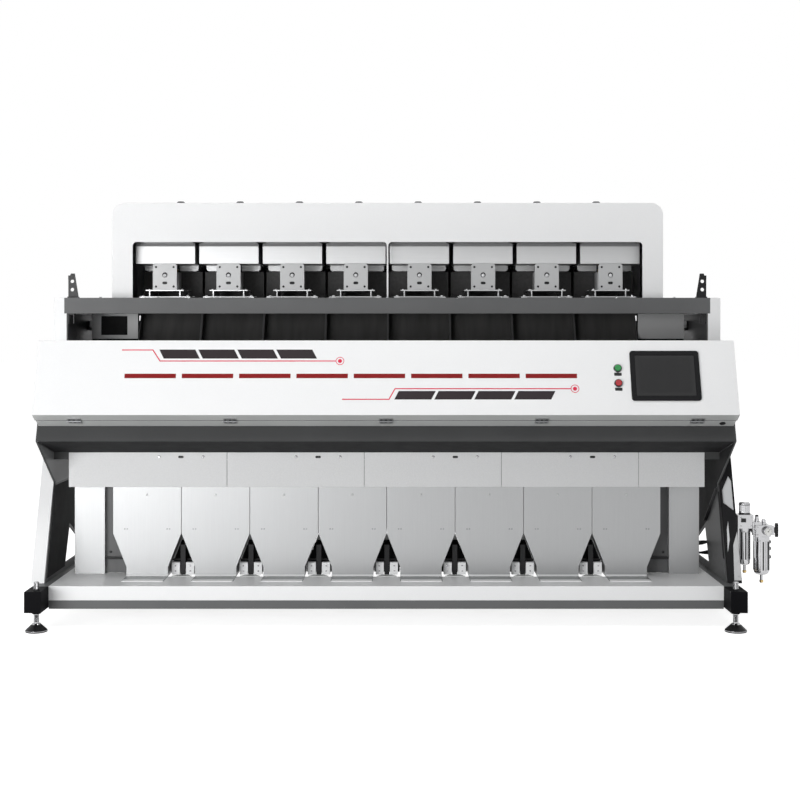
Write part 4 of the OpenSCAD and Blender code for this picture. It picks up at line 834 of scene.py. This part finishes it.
# Painted shade: dark sheets behind the panels beside the chutes
panel_backs = Piece("end_panel_shade_backs", "machine", PAINTED_SHADE)
for s in (-1, 1):
    near, far = sorted((s * (LANES_HALF - 0.4), s * 1569.0))
    panel_backs.box((near, 256, 1331), (far, 258, 1540))
    for z in (1352, 1440, 1528):
        panel_backs.screw(mm(s * 1555, 258.05, z), BACK, 4)
panel_backs.done(0.3)

# Right leg: pale liners in the pockets, and a screwed guard
liner = Piece("leg_liners", "machine", LIGHT_PLASTIC)
for z0, depth, pairs in ((517, 0.6, ((1, 41), (1, 104), (36.3, 175), (48, 149), (48, 2))),
                         (694, 0.6, ((1, -8), (1, 59), (37.5, 59))),
                         (330, 9.2, ((1, 0), (15, 60), (15, 150), (6, 110)))):
    liner.prism(outline(partial(on_leg, z0), pairs), LEG_FACE, depth)
liner.done(0.2)
guard = Piece("leg_guard", "machine", STRIP)
guard.prism(outline(partial(on_leg, 205), ((20, 0), (54, 0), (54, 235), (30, 170))), LEG_FACE, 9.6)
for up in (20, 90, 150):
    guard.screw(on_leg(205, 44, up) + LEG_FACE * 0.0096, LEG_FACE, 4)
guard.done(0.4)

# Feet: threads, rubber soles and black skins
for i, (sx, sy) in enumerate(((-1, -1), (1, -1), (-1, 1), (1, 1)), 1):
    middle = mm(sx * FOOT_PLACE[0], sy * FOOT_PLACE[1], 0)
    threads = Piece(f"foot_{i}_thread", f"foot_{i}", CHROME)
    threads.lathe(middle, UP, thread(46, 22, 79.5), 28)
    threads.lathe(middle, UP, thread(197, 20, 226.5), 28)
    threads.done(0.1)
    sole = Piece(f"foot_{i}_sole", f"foot_{i}", RUBBER)
    sole.lathe(middle, UP, [(49.9, 1.5), (50.6, 2.5), (50.6, 6), (49.9, 7), (49.9, 1.5)], 40)
    sole.done(0.2)
    skin = Piece(f"foot_{i}_skin", f"foot_{i}", BLACK)
    skin.lathe(middle, UP, [(50.5, 9), (36.5, 22.2), (22.6, 35.2), (22.1, 34.9), (36.1, 21.8), (49.9, 9),
                            (50.5, 9)], 44)
    skin.done(0.1)

# Air unit: union nuts, screws and the ports at the back
unit = Piece("air_unions", "machine", CHROME)
unit.lathe(mm(AIR_X, AIR_Y, 440), DOWN,
           [(25.2, 0), (30, 0), (30, 14), (28, 18), (25.2, 18), (25.2, 0)], 36)
unit.lathe(mm(FILTER_X, AIR_Y, 400), DOWN,
           [(36.2, 0), (39, 0), (39, 16), (38, 20), (36.2, 20), (36.2, 0)], 40)
unit.lathe(mm(AIR_X, AIR_Y, 505 + SEAT), UP, band(20, 24, 0.2), 36)
for x in (1690, 1738):
    for z in (452, 492):
        unit.screw(mm(x, FILTER_FRONT + 0.95, z), FRONT, 4)
for x in (1768, 1822):
    for z in (410, 446):
        unit.screw(mm(x, FILTER_FRONT - SEAT, z), FRONT, 4)
for z in (485, 455):
    unit.lathe(mm(AIR_X, AIR_Y + 35.1, z), BACK,
               [(0, 0), (17, 0), (17, 8), (14, 10), (14, 26), (12.6, 26), (12.6, 10), (0, 10)], 24)
unit.done(0.4)


# Bowls: guard rods, with dark slots between them further down

def bowl_rods(piece, first, r, shapes):
    """Eight upright rods round each bowl, from an angle in degrees: (x, radius, top, bottom)."""
    for k in range(8):
        a = math.radians(45 * k + first)
        for x, ring, top, bottom in shapes:
            place = (x + ring * math.cos(a), AIR_Y + ring * math.sin(a))
            piece.tube([mm(*place, top), mm(*place, (top + bottom) / 2), mm(*place, bottom)], r, 8)


rods = Piece("bowl_guards", "machine", CHROME)
bowl_rods(rods, 22.5, 1.6, ((AIR_X, 26.0, 424, 285), (FILTER_X, 37.0, 380, 236)))
rods.done(0.2)

# Gauge: dial, ticks with a pointer, and a rim
dial = Piece("gauge_dial", "machine", DIAL)
dial.lathe(mm(GAUGE[0], GAUGE_FRONT - SEAT, GAUGE[1]), FRONT, disc(17.5, 0.3), 36)
dial.done(0.05)
ticks = Piece("gauge_ticks", "machine", PLASTIC)
for k in range(11):
    a = math.radians(225 - 27 * k)
    c, s = math.cos(a), math.sin(a)
    ticks.prism([mm(GAUGE[0] + r * c - w * s, GAUGE_FRONT - 0.35, GAUGE[1] + r * s + w * c)
                 for r, w in ((12.5, 0.5), (12.5, -0.5), (16, -0.5), (16, 0.5))], FRONT, 0.15)
ticks.prism([mm(GAUGE[0] + dx, GAUGE_FRONT - 0.5, GAUGE[1] + dz) for dx, dz in (
    (-1.5, -2), (1.5, -2), (7.5, 12))], FRONT, 0.3)
ticks.lathe(mm(GAUGE[0], GAUGE_FRONT - 0.4, GAUGE[1]), FRONT, disc(2.4, 0.8), 16)
ticks.done(0.03)
gauge_rim = Piece("gauge_ring", "machine", CHROME)
gauge_rim.lathe(mm(GAUGE[0], GAUGE_FRONT - SEAT, GAUGE[1]), FRONT,
                [(17.8, 0), (20.8, 0), (20.8, 1.6), (19.5, 3), (17.8, 3), (17.8, 0)], 40)
gauge_rim.done(0.2)

# Painted shade: dark strips between the guard rods, and dark lines round the knob
shadows = Piece("bowl_painted_shade", "machine", BLACK)
bowl_rods(shadows, 0, 3.2, ((AIR_X, 25.6, 420, 290), (FILTER_X, 36.6, 376, 240)))
for z in (506, 549):
    shadows.lathe(mm(AIR_X, AIR_Y, z), UP, band(27.2, 28, 3), 36)
shadows.done(0.2)

# Pilot block with its caps and thin tubes, side knobs and drains
pilot = Piece("air_pilot", "machine", CHROME)
pilot.box((1757, -500, 455.1), (1790, -440, 470))
pilot.lathe(mm(1773, AIR_Y, 470), UP, [(0, 0), (11, 0), (11, 12), (9, 14), (9, 24), (0, 24)], 24)
pilot.lathe(mm(1806, AIR_Y, 455.1), UP,
            [(0, 0), (13, 0), (13, 8), (10, 10), (10, 22), (6, 25), (0, 25)], 24)
pilot.tube([mm(1748, -508, 470), mm(1748, -511, 430), mm(1752, -511, 330), mm(1752, -508, 300)], 3.4)
pilot.tube([mm(1760, -504, 450), mm(1760, -507, 410), mm(1757, -507, 340), mm(1757, -504, 290)], 3.0)
pilot.done(0.3)
knobs = Piece("air_side_knobs", "machine", PLASTIC)
knobs.box((1690, -511, 470), (1712, -505.1, 488))
for z in (372, 340, 300):
    knobs.lathe(mm(1831.2, AIR_Y, z), RIGHT, [(0, 0), (9, 0), (9, 5), (7, 8), (0, 8)])
knobs.lathe(mm(1773, AIR_Y, 494.1), UP, [(0, 0), (8, 0), (8, 5), (6, 7), (0, 7)])
knobs.done(0.3)
drains = Piece("air_drains", "machine", COPPER)
for x, z in ((AIR_X, 223), (FILTER_X, 176)):
    drains.lathe(mm(x, AIR_Y, z), UP, [(7.1, 2), (9.5, 4), (9.5, 12), (7.1, 14), (7.1, 2)], 12)
drains.done(0.3)

# Shut-off handle: ridges on the grip
grip = Piece("handle_grip", "valve_handle", PLASTIC)
for k in range(5):
    for s in (-1, 1):
        z = HANDLE_Z + s * (17 + 3 * k)
        grip.box((1872.9, AIR_Y - 7, z - 0.8), (1873.25, AIR_Y + 7, z + 0.8))
grip.done(0.1)

# Hose ends at the tank
ends = Piece("hose_fittings", "machine", COPPER)
for x in (AIR_X - 284, AIR_X - 350):
    ends.lathe(mm(x, 330, 838), UP,
               [(12.7, -20), (16, -20), (16, -4), (14, 0), (14, 4.5), (12.7, 4.5), (12.7, -20)])
ends.done(0.3)

# Hopper: bolted rims round the inlets and caps on the sensors
rims = Piece("inlet_rims", "machine", ZINC)
caps = Piece("sensor_caps", "machine", PLASTIC)
for x in LANES:
    rims.lathe(mm(x, INLET_Y, 2045.1), UP, band(79.2, 96, 2.5), 48)
    for k in range(6):
        a = math.radians(60 * k)
        rims.bolt(mm(x + 88 * math.cos(a), INLET_Y + 88 * math.sin(a), 2047.6), UP, 7)
    caps.lathe(mm(x, 614, 2041), UP, [(22.1, 20), (24.2, 22), (24.2, 34), (22.1, 36), (22.1, 20)], 28)
rims.done(0.3)
caps.done(0.3)

# Hopper's sides and back: screws, panels and latches
hopper_screws = Piece("hopper_screws", "machine", ZINC)
for k in range(11):
    for z in (1580, 1990):
        hopper_screws.screw(mm(-1350 + 270 * k, HOPPER_BACK + SEAT, z), BACK, 6)
for z in (1600, 1760, 1920):
    for y in (60, 270, 480, 680):
        for s in (1, -1):
            hopper_screws.screw(mm(s * (HOPPER_SIDE + SEAT), y, z), RIGHT * s, 5)
hopper_screws.done(0.3)
back_panels = Piece("hopper_back_panels", "machine", WHITE)
latches = Piece("hopper_back_latches", "machine", BLACK)
for x in [-1390 + 695 * k for k in range(4)]:
    back_panels.prism(rounded(x + 12, 1600, x + 683, 1970, 12, front_plane(HOPPER_BACK + SEAT)), BACK, 2.5)
    for z in (1640, 1930):
        for dx in (60, 635):
            latches.lathe(mm(x + dx, HOPPER_BACK + 2.5, z), BACK, quarter_turn(13, 2.5, 4, 6, 3, 2), 24)
back_panels.done(0.8)
latches.done(0.3)

# Side boxes: panels with locks and louvres
box_panels = Piece("side_box_panels", "machine", WHITE)
locks = Piece("side_box_locks", "machine", BLACK)
for s in (-1, 1):
    on_side = side_plane(s * (LEG_OUT + SEAT))
    out = RIGHT * s
    box_panels.prism(outline(on_side, ((-300, 800), (600, 800), (640, 1440), (-110, 1440), (-110, 1310))),
                     out, 2.0)
    for y, z in ((-80, 1400), (600, 1400), (-230, 840), (560, 840)):
        locks.lathe(on_side(y, z) + out * 0.002, out, quarter_turn(14, 2.5, 4, 7, 2.8, 2), 24)
    for k in range(7):
        locks.prism(rounded(120 + 30 * k, 1180, 132 + 30 * k, 1340, 5, on_side), out, 2.6)
box_panels.done(0.8)
locks.done(0.3)

# Rear cover: grab handles and quarter-turn locks
handles = Piece("rear_handles", "machine", BLACK)
handle_z = 1170
for x in (-1100, -366, 366, 1100):
    handles.tube([mm(x + dx, rear_y(handle_z) + dy, handle_z + dz) for dx, dy, dz in (
        (-75, -1, 0), (-75, 16, 2), (-60, 24, 4), (60, 24, 4), (75, 16, 2), (75, -1, 0))], 6, 12)
handles.done(0.2)
rear_locks = Piece("rear_locks", "machine", ZINC)
for x in (-1500, -750, 0, 750, 1500):
    for z in (1030, 1300):
        rear_locks.lathe(mm(x, rear_y(z), z), REAR_OUT, quarter_turn(12, 2, 4, 4, 2.6, 3))
rear_locks.done(0.2)

# Frame bolts on the legs, the foot blocks and the top beam
frame_bolts = Piece("frame_bolts", "machine", ZINC)
for s in (-1, 1):
    for y, slope in ((-520, LEG_SLOPE), (540, 0.08)):
        for z in (225, 265):
            frame_bolts.bolt(mm(s * (LEG_OUT + SEAT), y + (z - LEG_FOOT[1]) * slope, z), RIGHT * s, 16)
    for y in (-749, 749):
        for z in (120, 170):
            frame_bolts.bolt(mm(s * 1644.05, y, z), RIGHT * s, 14)
for k in range(-5, 6):
    frame_bolts.bolt(mm(k * 290, -95, BEAM_TOP + SEAT), UP, 12)
frame_bolts.done(0.3)

# Small plates on the fronts of the lifting lugs
lugs = Piece("lug_tops", "machine", BLACK)
for s in (-1, 1):
    near, far = sorted((s * 1584, s * 1608))
    lugs.box((near, -122.5, 1640), (far, -120 - SEAT, 1662))
lugs.done(0.4)

# Sorting chamber: lens rings, lenses and air nozzles
lens_rings = Piece("lens_rings", "machine", ALU)
lenses = Piece("lens_glass", "machine", PANEL)
nozzles = Piece("air_nozzles", "machine", COPPER)
nozzle_y = chute_y(903) + 25
ring_profile = [(19, -6), (28, -6), (28, 1), (25, 3), (19, 3), (17, -3), (17, -6), (19, -6)]
for x in LANES:
    for y, axis in ((-360, BACK), (420, FRONT)):
        lens_rings.lathe(mm(x, y, LENS_Z), axis, ring_profile, 32)
        lenses.lathe(mm(x, y, LENS_Z), axis, [(16.8, 0.05), (12, 1.6), (6, 2.6), (0, 2.9)], 28)
    for k in range(16):
        nozzles.lathe(mm(x - 150 + 20 * k, nozzle_y + 0.1, 904), FRONT,
                      [(0, 0), (3, 0), (2.6, 2), (1.2, 3.4), (0, 3.4)], 10)
lens_rings.done(0.3)
lenses.done(0.05)
nozzles.done(0.1)

# Camera, level and in front of the middle, with its view shifted down
camera = bpy.data.objects.new("camera", bpy.data.cameras.new("camera"))
bpy.context.scene.collection.objects.link(camera)
camera.location = (MIDDLE + 0.064, -7.176, 1.367)
camera.rotation_euler = (math.pi / 2, 0, 0)
camera.data.lens = 63.0
camera.data.sensor_width = 36.0
camera.data.shift_y = -0.0825
camera.data.clip_end = 200
camera.data.dof.use_dof = False
bpy.context.scene.camera = camera


# Light and floor

def light(name, place, target, size, power):
    """Soft lamp of a size in metres, turned to a target."""
    made = bpy.data.objects.new(name, bpy.data.lights.new(name, "AREA"))
    made.data.shape = "RECTANGLE"
    made.data.size, made.data.size_y = size
    made.data.energy = power
    made.location = place
    made.rotation_euler = (Vector(target) - Vector(place)).to_track_quat("-Z", "Y").to_euler()
    bpy.context.scene.collection.objects.link(made)


light("key_left", (-4.2, -6.8, 1.1), (-0.9, -0.4, 1.0), (4.5, 2.1), 325)
light("fill_high", (1.0, -3.9, 6.0), (0.4, -0.5, 0.7), (4.0, 2.0), 105)
light("top_soft", (-1.0, 1.0, 6.5), (0, 0, 1.0), (6.0, 4.0), 40)
light("back_soft", (0, 7.0, 3.5), (0, 0, 1.0), (6.0, 3.0), 120)


def seen(tree):
    """1 for the rays that the eye follows: from the camera, off gloss and through glass."""
    path = tree.nodes.new("ShaderNodeLightPath")
    last = path.outputs["Is Camera Ray"]
    for name in ("Is Glossy Ray", "Is Transmission Ray"):
        either = tree.nodes.new("ShaderNodeMath")
        either.operation = "MAXIMUM"
        tree.links.new(last, either.inputs[0])
        tree.links.new(path.outputs[name], either.inputs[1])
        last = either.outputs["Value"]
    return last


# World: soft light that falls off from left to right, white where it is seen
world = bpy.data.worlds.new("studio")
bpy.context.scene.world = world
world.use_nodes = True
tree = world.node_tree
shade = tree.nodes["Background"]
shade.inputs["Strength"].default_value = 0.42
aim = tree.nodes.new("ShaderNodeTexCoord")
split = tree.nodes.new("ShaderNodeSeparateXYZ")
side = tree.nodes.new("ShaderNodeMapRange")
side.inputs["From Min"].default_value = -0.45
side.inputs["From Max"].default_value = 0.45
tree.links.new(aim.outputs["Generated"], split.inputs["Vector"])
tree.links.new(split.outputs["X"], side.inputs["Value"])
tree.links.new(tones(tree, side.outputs["Result"], (1.0, 1.0, 1.0), (0.38, 0.385, 0.39), 0.1, 0.9),
               shade.inputs["Color"])
white = tree.nodes.new("ShaderNodeBackground")
white.inputs["Color"].default_value = (1, 1, 1, 1)
white.inputs["Strength"].default_value = 1.0
mix = tree.nodes.new("ShaderNodeMixShader")
tree.links.new(seen(tree), mix.inputs["Fac"])
tree.links.new(shade.outputs["Background"], mix.inputs[1])
tree.links.new(white.outputs["Background"], mix.inputs[2])
tree.links.new(mix.outputs["Shader"], tree.nodes["World Output"].inputs["Surface"])

# Floor: pale, just under the feet, with the object's shadow
FLOOR_REACH = 60
FLOOR_Z = -0.0005
floor_data = bpy.data.meshes.new("floor")
floor_data.from_pydata([(FLOOR_REACH * x, FLOOR_REACH * y, FLOOR_Z) for x, y in (
    (-1, -1), (1, -1), (1, 1), (-1, 1))], [], [(0, 1, 2, 3)])
floor = bpy.data.objects.new("floor", floor_data)
bpy.context.scene.collection.objects.link(floor)
pale, tree, shade = shader("pale_floor")
tree.links.new(tones(tree, noise(tree, 0.8), (0.90, 0.90, 0.90), (0.92, 0.92, 0.92)),
               shade.inputs["Base Color"])
shade.inputs["Roughness"].default_value = 0.9
shade.inputs["Specular IOR Level"].default_value = 0.0
shade.inputs["Emission Color"].default_value = (1, 1, 1, 1)
glow = tree.nodes.new("ShaderNodeMath")
glow.operation = "MULTIPLY"
glow.inputs[1].default_value = 0.78
tree.links.new(seen(tree), glow.inputs[0])
tree.links.new(glow.outputs["Value"], shade.inputs["Emission Strength"])
floor_data.materials.append(pale)
floor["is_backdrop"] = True

view = bpy.context.scene.view_settings
view.view_transform = "Standard"

low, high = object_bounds()
